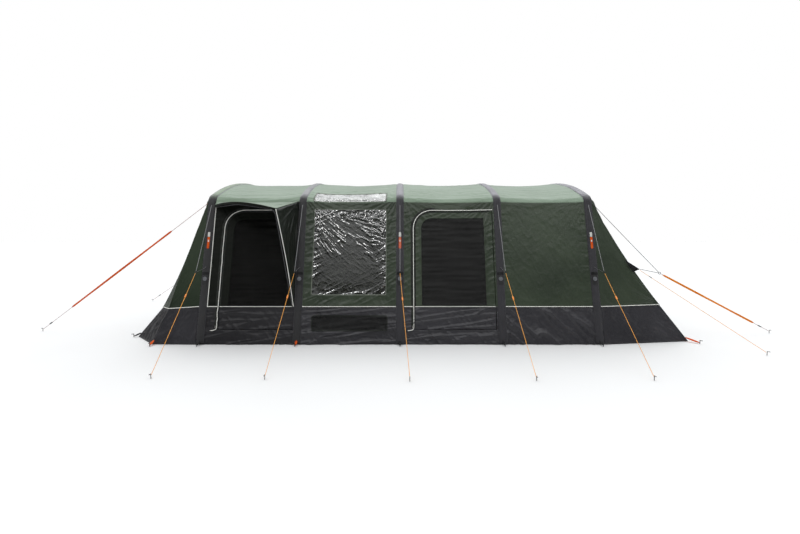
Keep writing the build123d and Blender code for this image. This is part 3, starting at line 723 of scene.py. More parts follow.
for side_name, side in SIDES:
    for number, x in enumerate(BEAM_X, 1):
        shift, peg_y = (PEG_SHIFT[number - 1], PEG_Y[number - 1]) if side < 0 else (0.0, PEG_Y[2])
        centre = Vector((x, side * RING_Y, RING_Z))
        hold = hold_on((x + shift, side * peg_y), (x + shift, 0))
        taut(f"guyline_{side_name}_{number}", towards(centre, hold, HUB), hold, ORANGE_CORD, "side_guylines")
        for part, z, cord in (("upper", 1.720, GREY_CORD), ("lower", 0.930, DARK_CORD)):
            top = to_side(on_wall(x, z, 0.005), side)
            taut(f"bridle_{side_name}_{number}_{part}", top, towards(centre, top, HUB), cord, "bridles")

    front_tab, rear_tab = (
        to_side(on_wall(x, HIGH_TAB_Z, 0.008), side) for x in (BEAM_X[0] - BESIDE_BEAM, BEAM_X[-1] + BESIDE_BEAM)
    )
    join = to_side(REAR_JOIN, side)
    for end_name, start, peg, low, high, web in (
        ("front", front_tab, FRONT_PEG, 0.620, 2.450, ORANGE_WEB),
        ("rear", towards(join, to_side(REAR_PEG, side), HUB), REAR_PEG, 0.030, 1.500, AMBER_WEB),
    ):
        hold = hold_on(to_side(peg, side), start)
        strap = flat_strap(
            f"storm_strap_{end_name}_{side_name}", towards(start, hold, low), towards(start, hold, high),
            0.026, web, "storm_guys", (0, side, 0.25), 0.25,
        )
        taut(f"storm_guy_{end_name}_{side_name}", start, hold, RED_CORD, "storm_guys")
    low_tab = to_side(REAR_TAB_TIP + Vector((0.006, 0, 0)), side)
    for part, top in (("upper", rear_tab), ("lower", low_tab)):
        taut(f"rear_bridle_{side_name}_{part}", top, towards(join, top, HUB), DARK_CORD, "bridles")
    start = to_side(REAR_TAB_TIP + Vector((0, -0.008, -0.014)), side)
    hold = hold_on(to_side(CORNER_PEG, side), start)
    strap = flat_strap(
        f"corner_strap_{side_name}", towards(start, hold, 0.125), towards(start, hold, 0.160),
        0.020, BLACK_WEB, "corner_guys",
    )
    taut(f"corner_guy_{side_name}", start, hold, ORANGE_CORD, "corner_guys")


# ---------------------------------------------------------------- the skin's own creases
def box_edge(x, s, box):
    """Distance from a box's outline, in the cloth."""
    x0, x1, s0, s1 = box
    dx, ds = np.maximum(x0 - x, x - x1), np.maximum(s0 - s, s - s1)
    outside = np.hypot(np.maximum(dx, 0), np.maximum(ds, 0))
    return np.where(np.maximum(dx, ds) > 0, outside, np.abs(np.maximum(dx, ds)))


def relief(x, s):
    """Creases over the whole flysheet: outward is positive."""
    near = nearest(s)
    u = x + np.where(s > MIDDLE, 17.3, 0.0)
    gap = np.min([np.abs(x - b) for b in BEAM_X], axis=0)
    calm = unit((gap - 0.036) / 0.03)
    bay = np.clip(np.searchsorted(BEAM_X, x) - 1, 0, 3)
    loose = np.array([0.7, 1.3, 1.0, 0.12])[bay]
    wall = unit((1.80 - near) / 0.12) * unit((near - MUD_S) / 0.08)
    roof = unit((near - 1.74) / 0.12)
    # The mud wall's folds are held back at the side door's hinge, so that the door clears them.
    mud = unit((MUD_S - near) / 0.06) * np.clip(np.abs(x - SIDE_DOOR[1]) / 0.12, 0.45, 1)
    out = wall * loose * 0.0046 * ridged(streaks(u, near, 26, 0.40, 0.055, 11))
    out += wall * 0.0026 * ridged(streaks(u, near, -62, 0.30, 0.06, 21))
    out += wall * loose * 0.0050 * noise(u / 0.23, near / 0.30, 25)
    # Beside each beam: folds from its bend, folds from its foot, and pinched cloth along its leg.
    for k, b in enumerate(BEAM_X):
        for way in (-1, 1):
            across, seed = (x - b) * way, 31 + 2 * k + way
            folds = fan(across, near, 0.0, OUTLINE.leg + 0.10, 0.42, seed, 40) * np.where(near > 1.9, 0.6, 1)
            beside = (0.12 + 0.88 * loose) * 0.0165 * folds
            beside += (0.3 + 0.6 * loose) * 0.0110 * fan(across, near, -0.02, 0.06, 0.36, seed + 100, 34)
            pinch = np.exp(-(((across - 0.06) / 0.07) ** 2)) * wall
            beside += pinch * 0.0034 * noise(across / 0.3, near / 0.022, seed + 140)
            out += (across > 0) * beside
    out += roof * 0.0042 * ridged(streaks(u, near, 6, 0.60, 0.10, 41))
    out += roof * 0.0060 * noise(u / 0.31, near / 0.42, 43)
    out += mud * 0.0200 * ridged(streaks(u, near, 7, 0.75, 0.07, 51)) * loose
    out += mud * 0.0160 * ridged(streaks(u, near, -48, 0.55, 0.10, 53)) * np.where(bay == 3, 1.5, 0.6)
    for x0, x1, s0, s1 in map(slope_box, (WINDOW, PORCH_DOOR, SIDE_DOOR)):
        for edge in (x0, x1):
            beside = np.exp(-(((x - edge) / 0.05) ** 2)) * ((near > s0) & (near < s1))
            out += beside * 0.0034 * noise(u / 0.25, near / 0.023, 61)
        for edge in (s0, s1):
            beside = np.exp(-(((near - edge) / 0.045) ** 2)) * ((x > x0) & (x < x1))
            out += beside * 0.0024 * noise(u / 0.027, near / 0.2, 62)
    return out * calm


def skin(x, s, out=0.0):
    """The creased flysheet."""
    return tunnel(x, s, out + relief(x, s))


def film_folds(x, s, box, seed):
    """Creases that fan out from above a film window's low-x top corner, most of them in its upper part."""
    right, down = x - box[0] + 0.34, box[3] + 0.20 - s
    r, t = np.hypot(right, down), np.arctan2(down, right)
    lines = ridged(noise(t * 25, r / 0.17, seed)) + 0.7 * ridged(noise(t * 52, r / 0.11, seed + 1))
    deep = np.clip((s - box[2] - 0.30) / 0.25, 0.05, 1)
    deep += 0.7 * np.exp(-(((x - box[0]) / 0.32) ** 2) - ((s - box[2] - 0.13) / 0.12) ** 2)
    patches = np.clip(0.80 + 0.9 * noise(x / 0.21, s / 0.15, seed + 3), 0.15, 1)
    return 0.0043 * lines * deep * patches + 0.0004 * noise(x / 0.022, s / 0.018, seed + 5)


def pane(depth, seed, box, fanned=False):
    """A sheet inside an opening, with folds of its own that fade out at its edges."""

    def place(x, s):
        inner = unit(box_edge(x, s, box) / 0.05)
        folds = depth[0] * ridged(streaks(x, s, depth[1], 0.42, 0.036, seed))
        folds += depth[0] * 0.35 * ridged(streaks(x, s, depth[1] + 14, 0.25, 0.030, seed + 3))
        folds += depth[2] * noise(x / 0.4, s / 0.028, seed + 7)
        if fanned:
            folds = folds + film_folds(x, s, box, seed)
        held = 1 - 0.9 * unit(box_edge(x, s, box) / 0.16)
        return tunnel(x, s, (folds - depth[0] * 0.4) * inner - 0.001 + relief(x, s) * held)

    return place


def far_side(place):
    """The same surface on the far side."""
    return lambda x, s, *out: place(x, OUTLINE.total - s, *out)


far_skin = far_side(skin)


def cloth(piece, material, replaces, body="root", thick=SHELL):
    """Finishes a sheet: thickness, material and body. Its flat size is worked out but not kept."""
    mesh = piece.data
    uv = np.empty(len(mesh.loops) * 2, np.float32)
    mesh.uv_layers["cloth"].data.foreach_get("uv", uv)
    uv = uv.reshape(-1, 2)
    size = uv.max(0) - uv.min(0)
    area = sum(p.area for p in mesh.polygons)
    if area < 0.4 * size[0] * size[1]:
        size[0] = 2 * area / size[1]
    solidify(piece, thick)
    finish_piece(piece, material, body, replaces)


def slope_of(z):
    """Arc length of height z on the near side."""
    s = np.linspace(0, MIDDLE, 4000)
    return float(np.interp(z, OUTLINE.at(s)[1], s))


def opening(box, corner=0.0, gap=0.0):
    return (slope_box(box, gap), max(corner - gap, 0))


DOORS = (opening(PORCH_DOOR, DOOR_CORNER), opening(SIDE_DOOR, DOOR_CORNER))
NEAR_HOLES = [*DOORS, opening(WINDOW), opening(LOW_VENT)]
FAR_HOLES = [opening(WINDOW), opening(FAR_SPARE), opening(LOW_VENT)]
ROOF_HOLE = ((SKYLIGHT[0], SKYLIGHT[1], slope_of(SKYLIGHT[2]), slope_of(SKYLIGHT[3])), 0)


ENDS = [BEAM_X[0] - END_OVERHANG, *BEAM_X[1:-1], BEAM_X[-1] + END_OVERHANG]
for number, (a, b) in enumerate(zip(ENDS, ENDS[1:]), 1):
    x0, x1 = a + 0.0005, b - 0.0005
    for side_name, holes, place, step in (
        ("near", NEAR_HOLES, skin, FINE_STEP),
        ("far", FAR_HOLES, far_skin, STEP * 1.5),
    ):
        for part, low, high, material, slot in (
            ("fly_wall", MUD_S, WALL_S, WALL, "wall"),
            ("mud_wall", 0.004, MUD_S - SEAM, MUD, "mud"),
        ):
            made = cloth_grid(f"{part}_{side_name}_{number}", (x0, x1, low, high), step, place, holes)
            # Painted shade: the near first bay, under the canopy, takes the darker copies of the wall and mud cloths.
            if (side_name, number) == ("near", 1):
                material = {WALL: PORCH_SHADED_CLOTH, MUD: PORCH_SHADED_MUD}[material]
            cloth(made, material, [f"{part}_{side_name}"])
    roof_box = (x0, x1, WALL_S + SEAM, OUTLINE.total - WALL_S - SEAM)
    made = cloth_grid(f"fly_roof_{number}", roof_box, STEP * 1.15, skin, [ROOF_HOLE])
    cloth(made, ROOF, ["fly_roof"])


# ---------------------------------------------------------------- windows and vents
def window(name, box, node, material, depth, seed, side=1, step=0.011, fanned=False):
    tall = slope_box(box, PANE_GAP) if box is not SKYLIGHT else tuple(
        v + PANE_GAP * w for v, w in zip(ROOF_HOLE[0], (1, -1, 1, -1))
    )
    place = pane(depth, seed, tall, fanned)
    if side > 0:
        place = far_side(place)
    cloth(cloth_grid(name, tall, step, place), material, [node], thick=FILM_THICK)


window("window_near", WINDOW, "side_windows", CLEAR, (0.0006, -32, 0.0002), 71, -1, 0.0055, True)
window("window_far_1", WINDOW, "side_windows", BLIND, (0.0036, -28, 0.0008), 81)
window("window_far_2", FAR_SPARE, "side_windows", BLIND, (0.0036, 30, 0.0008), 91)
window("roof_window", SKYLIGHT, "skylight", ROOF_FILM, (0.0085, -24, 0.0050), 101, -1, 0.006)
window("low_vent_near", LOW_VENT, "low_vents", VENT_NET, (0.0020, 20, 0.0020), 111, -1)
window("low_vent_far", LOW_VENT, "low_vents", VENT_NET, (0.0020, 20, 0.0020), 121)


# ---------------------------------------------------------------- bands and piping along openings
def rounded_outline(hole):
    """Points and outward directions round a hole, its low-x top corner rounded by its own radius."""
    small, step = 0.018, 0.014
    (x0, x1, s0, s1), corner = hole
    radii = (small, small, small, max(corner, small))
    corners = ((x0, s0, 180), (x1, s0, 270), (x1, s1, 0), (x0, s1, 90))
    ring, dense = [], []
    for (cx, cs, angle), r in zip(corners, radii):
        mx = cx + r * (1 if cx == x0 else -1)
        ms = cs + r * (1 if cs == s0 else -1)
        count = max(3, int(r * math.pi / 2 / step))
        for k in range(count + 1):
            a = math.radians(angle + 90 * k / count)
            ring.append(np.array((mx + r * math.cos(a), ms + r * math.sin(a), math.cos(a), math.sin(a))))
    for p, q in zip(ring, ring[1:] + ring[:1]):
        count = max(1, int(math.dist(p[:2], q[:2]) / step))
        dense += [p + (q - p) * (j / count) for j in range(count)]
    return np.split(np.array(dense), 2, axis=1)


def tape_round(name, hole, low, high, place, material, body="root", part=None, lift=0.0012, puff=0.0012):
    """Sewn tape round an opening, from low to high outside its edge, with raised edges where it is stitched."""
    line, outs = rounded_outline(hole)
    closed = part is None
    if not closed:
        kept = part(*line.T)
        line, outs, kept = (np.roll(v, -int(np.argmax(~kept)), 0) for v in (line, outs, kept))
        line, outs = line[kept], outs[kept]
    across = np.linspace(low, high, 5)
    rise = lift + puff * np.array([0.0, 1.0, 0.45, 1.0, 0.0])
    gx = line[:, None, 0] + outs[:, None, 0] * across
    gs = line[:, None, 1] + outs[:, None, 1] * across
    ripple = 0.0006 * noise(gx / 0.016 + gs / 0.016, gs / 0.4, 131)
    points = place(gx, gs, rise + ripple).reshape(-1, 3)
    uvs = np.stack(np.meshgrid(across, walked(line)), -1).reshape(-1, 2)
    made = new_object(name, points, quads(len(line) + closed, len(across)) % len(points), uvs)
    trim(made, material, body)


for name, hole, low, high, place, material, slot in (
    ("window_tape_near", opening(WINDOW), -0.008, 0.004, skin, WINDOW_TAPE, "wall"),
    ("window_tape_far_1", opening(WINDOW), -0.016, 0.006, far_skin, WINDOW_TAPE, "wall"),
    ("window_tape_far_2", opening(FAR_SPARE), -0.016, 0.006, far_skin, WINDOW_TAPE, "wall"),
    ("low_vent_tape_near", opening(LOW_VENT), -0.010, 0.008, skin, HEM, "mud"),
    ("low_vent_tape_far", opening(LOW_VENT), -0.010, 0.008, far_skin, HEM, "mud"),
    ("roof_window_tape", ROOF_HOLE, -0.010, 0.008, skin, WINDOW_TAPE, "roof"),
):
    tape_round(name, hole, low, high, place, material)


# ---------------------------------------------------------------- doors
def door(name, box, mesh_box, mesh_seed, upper, lower, net_cloth, hinge_room=0.0):
    """A fabric door in two cloths, its insect mesh and the trims that are sewn to it."""
    (x0, x1, s0, s1), corner = opening(box, DOOR_CORNER, DOOR_GAP)
    x1 -= hinge_room
    leaf = ((x0, x1, s0, s1), corner)
    hole = opening(mesh_box, MESH_CORNER)
    for part, low, high, material, slot in (
        ("upper", MUD_S, s1, upper, "wall"),
        ("lower", s0, MUD_S - SEAM, lower, "mud"),
    ):
        made = cloth_grid(f"{name}_{part}", (x0, x1, low, high), FINE_STEP, skin, [hole], leaf)
        cloth(made, material, [name], body=name)
    net = opening(mesh_box, MESH_CORNER, PANE_GAP)
    made = cloth_grid(f"{name}_net", net[0], 0.012, pane((0.0040, 4, 0.0110), mesh_seed, net[0]), (), net)
    cloth(made, net_cloth, [f"{name}_mesh"], body=name, thick=0.0007)
    tape_round(f"{name}_net_tape", hole, -0.012, 0.008, skin, upper, body=name)

    def zip_side(x, s):
        return ((x < x0 + 0.01) | (s > s1 - DOOR_CORNER)) & (x < x1 - 0.02) & (s > MUD_S)

    tape_round(f"{name}_edge_tape", leaf, -0.016, -0.001, skin, HEM, body=name, part=zip_side)
    line = skin(np.linspace(x0 + 0.004, x1 - 0.004, 14), np.full(14, MUD_S), 0.0035)
    piping(f"{name}_piping", line, 0.0035, name)


# The porch door folds inward, so a strip of the wall's cloth covers its hinge line from outside; the strip takes the
# darker porch copies of the cloths, painted shade.
x1, s0, s1 = np.array(slope_box(PORCH_DOOR))[[1, 2, 3]]
for part, low, high, material, slot in (
    ("upper", MUD_S + 0.004, s1 - 0.02, PORCH_SHADED_CLOTH, "wall"),
    ("lower", s0 + 0.01, MUD_S - 0.004, PORCH_SHADED_MUD, "mud"),
):
    made = cloth_grid(
        f"porch_hinge_strip_{part}", (x1 - 0.016, x1 + 0.012, low, high), (0.0056, 0.01),
        lambda x, s: skin(x, s, 0.0016),
    )
    trim(made, material)

# The porch door takes the darker copies of the cloths and the net: painted shade under the canopy.
door("porch_door", PORCH_DOOR, PORCH_MESH, 141, PORCH_SHADED_CLOTH, PORCH_SHADED_MUD, PORCH_SHADED_NET, 0.007)
door("side_door", SIDE_DOOR, SIDE_MESH, 151, WALL, MUD, NET)


def door_surround(name, box):
    """White piping up the zip side and over the top, a dark storm flap beside it, and a zip."""
    (x0, x1, s0, s1), r = opening(box, DOOR_CORNER)
    out = 0.009
    turn = [
        (x0 + r - (r + out) * math.sin(a), s1 - r + (r + out) * math.cos(a)) for a in np.linspace(0, math.pi / 2, 9)
    ]
    run = [(x1 + 0.002, s1 + out), *[(x, s1 + out) for x in np.linspace(x1 - 0.05, x0 + r + 0.05, 10)]]
    run += [*turn, *[(x0 - out, s) for s in np.linspace(s1 - r - 0.05, s0 + 0.06, 34)]]
    run += [(x0 - out, s0 + 0.02), (x0 - out - 0.014, s0 - 0.006), (x0 - out - 0.075, s0 - 0.012)]
    gx, gs = np.array(run).T
    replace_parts(piping(f"{name}_surround", skin(gx, gs, 0.0052)), "door_piping")

    def keep(x, s):
        return (x < x0 + r * 1.2) & (s > s0 + 0.005) & (s < s1 + 0.02)

    flap = ((x0 - 0.012, x1 + 0.2, s0 - 0.2, s1 + 0.012), r + 0.012)
    tape_round(f"{name}_flap", flap, 0.003, 0.030, skin, HEM, part=keep, lift=0.0018, puff=0.0022)
    zip_line = ((x0 + 0.0025, x1 + 0.2, s0 - 0.2, s1 - 0.0025), r)
    tape_round(f"{name}_zip", zip_line, -0.004, 0.004, skin, BLACK_WEB, part=keep, puff=0.0015)


for name, box in (("porch_door", PORCH_DOOR), ("side_door", SIDE_DOOR)):
    door_surround(name, box)


# ---------------------------------------------------------------- sleeves over the beams
def sleeve_out(d, x, s):
    """Height of a sleeve's surface at d from its middle: round on top, down to the cloth at its edges."""
    beside = -FABRIC_DEPTH - sag(x + np.sign(d) * SLEEVE_HALF, s) + 0.001
    crown = np.sqrt(unit(1 - (np.abs(d) / (SLEEVE_HALF + 0.001)) ** 2))
    return beside + (0.0055 - beside) * crown


for number, x in enumerate(BEAM_X, 1):
    foot = 0.016
    ss = lines_between(foot, OUTLINE.total - foot, 0.015)
    across = np.sin(np.linspace(-math.pi / 2, math.pi / 2, 15)) * SLEEVE_HALF
    gd, gs = np.meshgrid(across, ss)
    near = nearest(gs)
    bend = np.exp(-(((near - OUTLINE.leg - 0.07) / 0.10) ** 2))
    crumple = 0.0035 * bend * noise(gd / 0.05, gs / 0.020, 160 + number)
    crumple += 0.0016 * streaks(gd, gs, 70, 0.10, 0.03, 170 + number)
    crumple += 0.0012 * noise(gd / 0.03, gs / 0.11, 175 + number)
    body = np.cos(gd / SLEEVE_HALF * math.pi / 2) ** 0.5
    out = sleeve_out(gd, x, gs) + crumple * body
    made = grid_object(f"beam_sleeve_{number}", along_tunnel(x + gd, gs, out), gd, gs)
    # The first two beams take sleeves with darker legs: painted shade beside the porch.
    over = {1: PORCH_SLEEVE, 2: SECOND_SLEEVE}.get(number, SLEEVE)
    cloth(made, over, ["beam_sleeves"])
    for way, label in ((-1, "left"), (1, "right")):
        gd, gs = np.meshgrid((SLEEVE_HALF + np.array([-0.004, 0.001, 0.005, 0.008])) * way, ss)
        rise = np.array([0.0015, 0.0050, 0.0045, 0.0010])
        base = -FABRIC_DEPTH - sag(x + gd, gs) + rise + 0.0007 * noise(gs / 0.02, gs * 0, 181)
        made = grid_object(f"sleeve_edge_{number}_{label}", along_tunnel(x + gd, gs, base), gd, gs, way < 0)
        trim(made, SLEEVE)


# ---------------------------------------------------------------- ends
def patch(name, points, material, replaces, thick=SHELL, flip=False):
    """A sheet over a grid of points, rows by columns. Its flat coordinates follow its own lengths."""
    points = np.asarray(points, float)
    rows, cols = points.shape[:2]
    across = np.linalg.norm(np.diff(points, axis=1), axis=2)
    up = np.linalg.norm(np.diff(points, axis=0), axis=2)
    u = np.concatenate([np.zeros((rows, 1)), np.cumsum(across, 1)], 1)
    u -= u.mean(1, keepdims=True)
    v = np.concatenate([np.zeros((1, cols)), np.cumsum(up, 0)], 0)
    made = grid_object(name, points, u, v, flip)
    weld(made)
    cloth(made, material, replaces, thick=thick)


def weld(made):
    """Closes up the faces that narrow to nothing where a sheet ends in a point."""
    distance = 0.0004
    work = bmesh.new()
    work.from_mesh(made.data)
    bmesh.ops.remove_doubles(work, verts=work.verts, dist=distance)
    bmesh.ops.dissolve_degenerate(work, edges=work.edges, dist=distance)
    work.to_mesh(made.data)
    work.free()
    made.data.polygons.foreach_set("use_smooth", np.ones(len(made.data.polygons), bool))


def creased(points, height, outward):
    """Moves a grid of points along its normals."""
    n = np.cross(np.gradient(points, axis=1), np.gradient(points, axis=0))
    n /= np.maximum(np.linalg.norm(n, axis=2, keepdims=True), 1e-9)
    n *= np.where((n @ np.asarray(outward, float)) < 0, -1, 1)[..., None]
    return points + n * height[..., None]


def rim_fade(rows, cols, width=3):
    """One inside a grid, fading to nothing at its rim."""
    i, j = (np.minimum(np.arange(n), np.arange(n)[::-1]) / width for n in (rows, cols))
    return unit(np.minimum(i[:, None], j[None]))


def mirror_y(points):
    return points * (1, -1, 1)


def ruled(a, b, rows):
    """Rows of points from a to b, each of them a point or a line of points."""
    t = np.linspace(0, 1, rows).reshape(-1, *[1] * np.ndim(a))
    return a * (1 - t) + b * t


class End:
    """One end of the flysheet: from the last beam's arch down to the mud wall's top."""

    def __init__(self, beam, sign, corner, hollow):
        self.x = beam + sign * (END_OVERHANG + 0.001)
        self.sign = sign
        self.corner = np.array(corner) + (0, 0, MUD_LAP)
        self.hollow = hollow
        self.edge_top, self.foot = (along_tunnel(self.x, at, -FABRIC_DEPTH) for at in (WALL_S, MUD_S + MUD_LAP))
        run = self.corner - self.edge_top
        self.out = np.array([sign * -run[2], 0, abs(run[0])])
        self.out /= np.linalg.norm(self.out)

    def edge(self, count):
        """The hanging edge from the eave down to the corner, pulled in by its own curve."""
        v = np.linspace(0, 1, count)[:, None]
        return ruled(self.edge_top, self.corner, count) - self.out * self.hollow * (4 * v * (1 - v)) ** 0.9

    def main(self, rows=84, cols=190):
        top = along_tunnel(self.x, np.linspace(WALL_S, OUTLINE.total - WALL_S, cols), -FABRIC_DEPTH)
        t, v = np.linspace(-1, 1, cols), np.linspace(0, 1, rows)[:, None, None]
        curve = (4 * v * (1 - v)) ** 0.9 * self.hollow * (0.55 + 0.45 * t[None, :, None] ** 2)
        points = ruled(top, ruled(self.corner, mirror_y(self.corner), cols), rows) - self.out * curve
        gu, gv = np.meshgrid(t * 1.6, np.linspace(0, 1.5, rows))
        folds = 0.006 * streaks(gu, gv, 84, 0.7, 0.08, 201) + 0.004 * streaks(gu, gv, 40, 0.5, 0.06, 205)
        for side in (-1, 1):
            folds += 0.012 * fan(gu * -side, gv, -1.5, 0.03, 0.5, 211 + side, 30)
            folds += 0.010 * fan(gu * -side, 1.5 - gv, -1.55, 0.03, 0.45, 215 + side, 30)
        return creased(points, folds * rim_fade(rows, cols), self.out)

    def triangle(self, low_to, top, seed, rows=80):
        """A side panel: its bottom edge from the beam's foot to low_to, its top edge as given."""
        points = ruled(ruled(self.foot, low_to, len(top)), top, rows)
        gu, gv = self.sign * points[..., 0], points[..., 2] - self.foot[2]
        gu -= gu.min()
        folds = (0.0015 + 0.006 * np.exp(-gv / 0.35)) * streaks(gu, gv, -52, 0.55, 0.075, seed)
        folds += 0.009 * fan(gu, gv, 0.0, gv.max(), 0.4, seed + 4, 30)
        folds += 0.006 * fan(gu, gv, gu.max(), 0.0, 0.35, seed + 6, 30)
        return creased(points, folds * rim_fade(rows, len(top)), (0, -1, 0.2))


rear = End(BEAM_X[-1], 1, REAR_TOP[0], 0.034)
front = End(BEAM_X[0], -1, FRONT_TOP[1], 0.030)
COLS = 64

patch("fly_rear_panel", rear.main(), WALL, ["fly_rear"])
side_panel = rear.triangle(rear.corner, rear.edge(COLS), 221)
for side_name, panel in (("near", side_panel), ("far", mirror_y(side_panel))):
    patch(
        f"fly_rear_side_{side_name}", panel, WALL, ["fly_rear"],
        flip=side_name == "far",
    )

# The front panel has three film windows, cut from the same grid.
PANE_Y = (-0.868, 0.0, 0.868)
PANE_HALF = 0.280
PANE_Z = (0.700, 1.450)
main = front.main()
rows, cols = main.shape[:2]
mid_row, mid_col = main[rows // 2], main[:, cols // 2]
row_low, row_high = (int(np.argmin(np.abs(mid_col[:, 2] - z))) for z in PANE_Z)
in_pane = np.zeros((rows - 1, cols - 1), int)
panes = []
for number, y in enumerate(PANE_Y, 1):
    a, b = (int(np.argmin(np.abs(mid_row[:, 1] - edge))) for edge in (y - PANE_HALF, y + PANE_HALF))
    in_pane[row_high:row_low, a:b] = number
    panes.append((a, b))
gu, gv = np.meshgrid(walked(mid_row), walked(mid_col))
ripples = 0.004 * np.abs(streaks(gu, gv, -30, 0.34, 0.035, 231)) + 0.003 * streaks(gu, gv, 30, 0.2, 0.05, 233)
front_uv = np.stack([gu, gv], -1).reshape(-1, 2)


def part_of_front(name, number, points, material, node):
    faces = quads(rows, cols, True)[in_pane.ravel() == number]
    made = some_faces(name, points.reshape(-1, 3), faces, front_uv)
    cloth(made, material, [node])


part_of_front("fly_front_panel", 0, main, WALL, "fly_front")
for number, (a, b) in enumerate(panes, 1):
    fade = np.zeros(gu.shape)
    fade[row_high : row_low + 1, a : b + 1] = rim_fade(row_low - row_high + 1, b - a + 1)
    bent = creased(main, ripples * fade, front.out)
    part_of_front(f"front_window_{number}", number, bent, BLIND, "front_windows")
    inner = main[row_high : row_low + 1, a : b + 1]
    line = np.concatenate([inner[0, :-1], inner[:-1, -1], inner[-1, :0:-1], inner[:0:-1, 0]]) + front.out * 0.0015
    toward = line.mean(0) - line
    toward /= np.linalg.norm(toward, axis=1, keepdims=True)
    band = np.stack([line - toward * 0.008, line - toward * 0.002 + front.out * 0.0015, line + toward * 0.010], 0)
    band = np.concatenate([band, band[:, :1]], 1)
    made = grid_object(f"front_window_tape_{number}", band, *np.meshgrid(walked(band[1]), [0, 0.01, 0.018]))
    trim(made, WINDOW_TAPE)

CHAMFER_ROWS = 30
corner = np.array(FRONT_TOP[0]) + (0, 0, MUD_LAP)
v = np.linspace(0, 1, COLS)[:, None]
seam = ruled(front.edge_top, corner, COLS) - np.array([0.0432, 0.0432, 0.0360]) * v * (1 - v)
side_panel = front.triangle(corner, seam, 241)
gu, gv = np.meshgrid(np.linspace(0, 1.5, COLS), np.linspace(0, 0.4, CHAMFER_ROWS))
folds = 0.004 * streaks(gu, gv, 12, 0.5, 0.05, 251) + 0.008 * fan(gu, gv, 0, 0.2, 0.4, 253, 24)
folds *= rim_fade(CHAMFER_ROWS, COLS)
chamfer = creased(ruled(seam, front.edge(COLS), CHAMFER_ROWS), folds, (-0.6, -0.7, 0.3))
# The front's side and chamfer panels are in the darker copy of the wall cloth: painted shade.
for side_name, side in SIDES:
    for part, points in (("side", side_panel), ("chamfer", chamfer)):
        points = points if side < 0 else mirror_y(points)
        patch(f"fly_front_{part}_{side_name}", points, FRONT_SHADED_CLOTH, ["fly_front"], flip=side < 0)


# ---------------------------------------------------------------- mud walls round the ends
def mud_round(label, x, top, ground, sign):
    """The mud wall's panels round one end, a panel between each two corners."""
    start, start_low = (along_tunnel(x, s, -FABRIC_DEPTH) for s in (MUD_S, 0.003))
    tops = [start, *[np.array(p) for p in top]]
    lows = [start_low, *[np.array((p[0], p[1], 0.003)) for p in ground]]
    tops += [mirror_y(p) for p in reversed(tops)]
    lows += [mirror_y(p) for p in reversed(lows)]
    for k, (a, b, c, d) in enumerate(zip(lows, lows[1:], tops[1:], tops), 1):
        width = np.linalg.norm(b - a)
        nu, nv = max(10, int(width / 0.02)), 24
        gu, gv = np.meshgrid(np.linspace(0, width, nu), np.linspace(0, 0.46, nv))
        folds = 0.0120 * ridged(streaks(gu, gv, -62 if k % 2 else 62, 0.6, 0.09, 260 + k))
        folds += 0.010 * fan(gu, gv, 0.0, 0.44, 0.5, 270 + k, 22) + 0.008 * fan(gu, gv, width, 0.1, 0.4, 275 + k, 22)
        outward = np.array([sign * 0.6, (a + b)[1], 0.2])
        points = ruled(ruled(a, b, nu), ruled(d, c, nu), nv)
        points = creased(points, folds * rim_fade(nv, nu) - 0.001, outward)
        # The front's chamfer panels take the darker copy of the mud cloth: painted shade.
        material = PORCH_SHADED_MUD if label == "front" and k in (2, 4) else MUD
        flip = bool(np.cross(b - a, d - a) @ outward < 0)
        patch(f"mud_wall_{label}_{k}", points, material, [f"mud_wall_{label}"], flip=flip)


mud_round("rear", rear.x, REAR_TOP, REAR_GROUND, 1)
mud_round("front", front.x, FRONT_TOP, FRONT_GROUND, -1)

# Groundsheet: its half-width follows the foot of the walls.
plan_x, plan_y = zip(
    (FRONT_GROUND[1][0] + 0.016, -FRONT_GROUND[1][1] - 0.012),
    (FRONT_GROUND[0][0] + 0.008, -FRONT_GROUND[0][1] - 0.018),
    (front.x + 0.001, HALF_WIDTH - 0.02),
    (rear.x - 0.001, HALF_WIDTH - 0.02),
    (REAR_GROUND[0][0] - 0.02, -REAR_GROUND[0][1] - 0.016),
)
xs = lines_between(plan_x[0], plan_x[-1], 0.05, plan_x[1:-1])
across = np.linspace(-1, 1, 70)
gx, gt = np.meshgrid(xs, across)
gy = gt * np.interp(gx, plan_x, plan_y)
puckers = 0.0016 * (1 + streaks(gx, gy, 30, 0.8, 0.12, 281)) * rim_fade(*gx.shape, 2)
points = np.stack([gx, gy, 0.0022 + puckers], -1)
patch("groundsheet_cloth", points, FLOOR_CLOTH, ["groundsheet"], thick=0.0012)


# ---------------------------------------------------------------- bedroom
ROOM_DEPTH, ROOM_FRONT, ROOM_FLOOR = 0.150, 1.330, 0.025
ROOM_TOP_X, ROOM_TOP_Z = (1.33, 2.110, 2.320, 3.174, 3.400), (2.2, 2.000, 1.678, 0.368, 0.03)
ROOM_END = 3.390
ROOM_DOOR = (0.350, 1.250, 0.150, 1.600)

# The bedroom's shell: the tunnel's outline drawn in, under the sloping rear.
xs = lines_between(ROOM_FRONT + 0.004, ROOM_END, 0.045)
ss = lines_between(0.02, OUTLINE.total - 0.02, 0.035)
gx, gs = np.meshgrid(xs, ss)
drape = 0.016 * streaks(gx, gs, 80, 0.7, 0.10, 291) + 0.010 * noise(gx / 0.09, gs / 0.8, 293)
shell = along_tunnel(gx, gs, (drape - 0.016) * rim_fade(*gx.shape, 2) - ROOM_DEPTH - 0.004)
shell[..., 2] = np.clip(shell[..., 2], ROOM_FLOOR, np.interp(gx, ROOM_TOP_X, ROOM_TOP_Z))
patch("bedroom_shell", shell, INNER, ["bedroom_inner"], flip=True)
room_edge = along_tunnel(ROOM_FRONT, np.linspace(0, MIDDLE, 2000), -ROOM_DEPTH - 0.008)


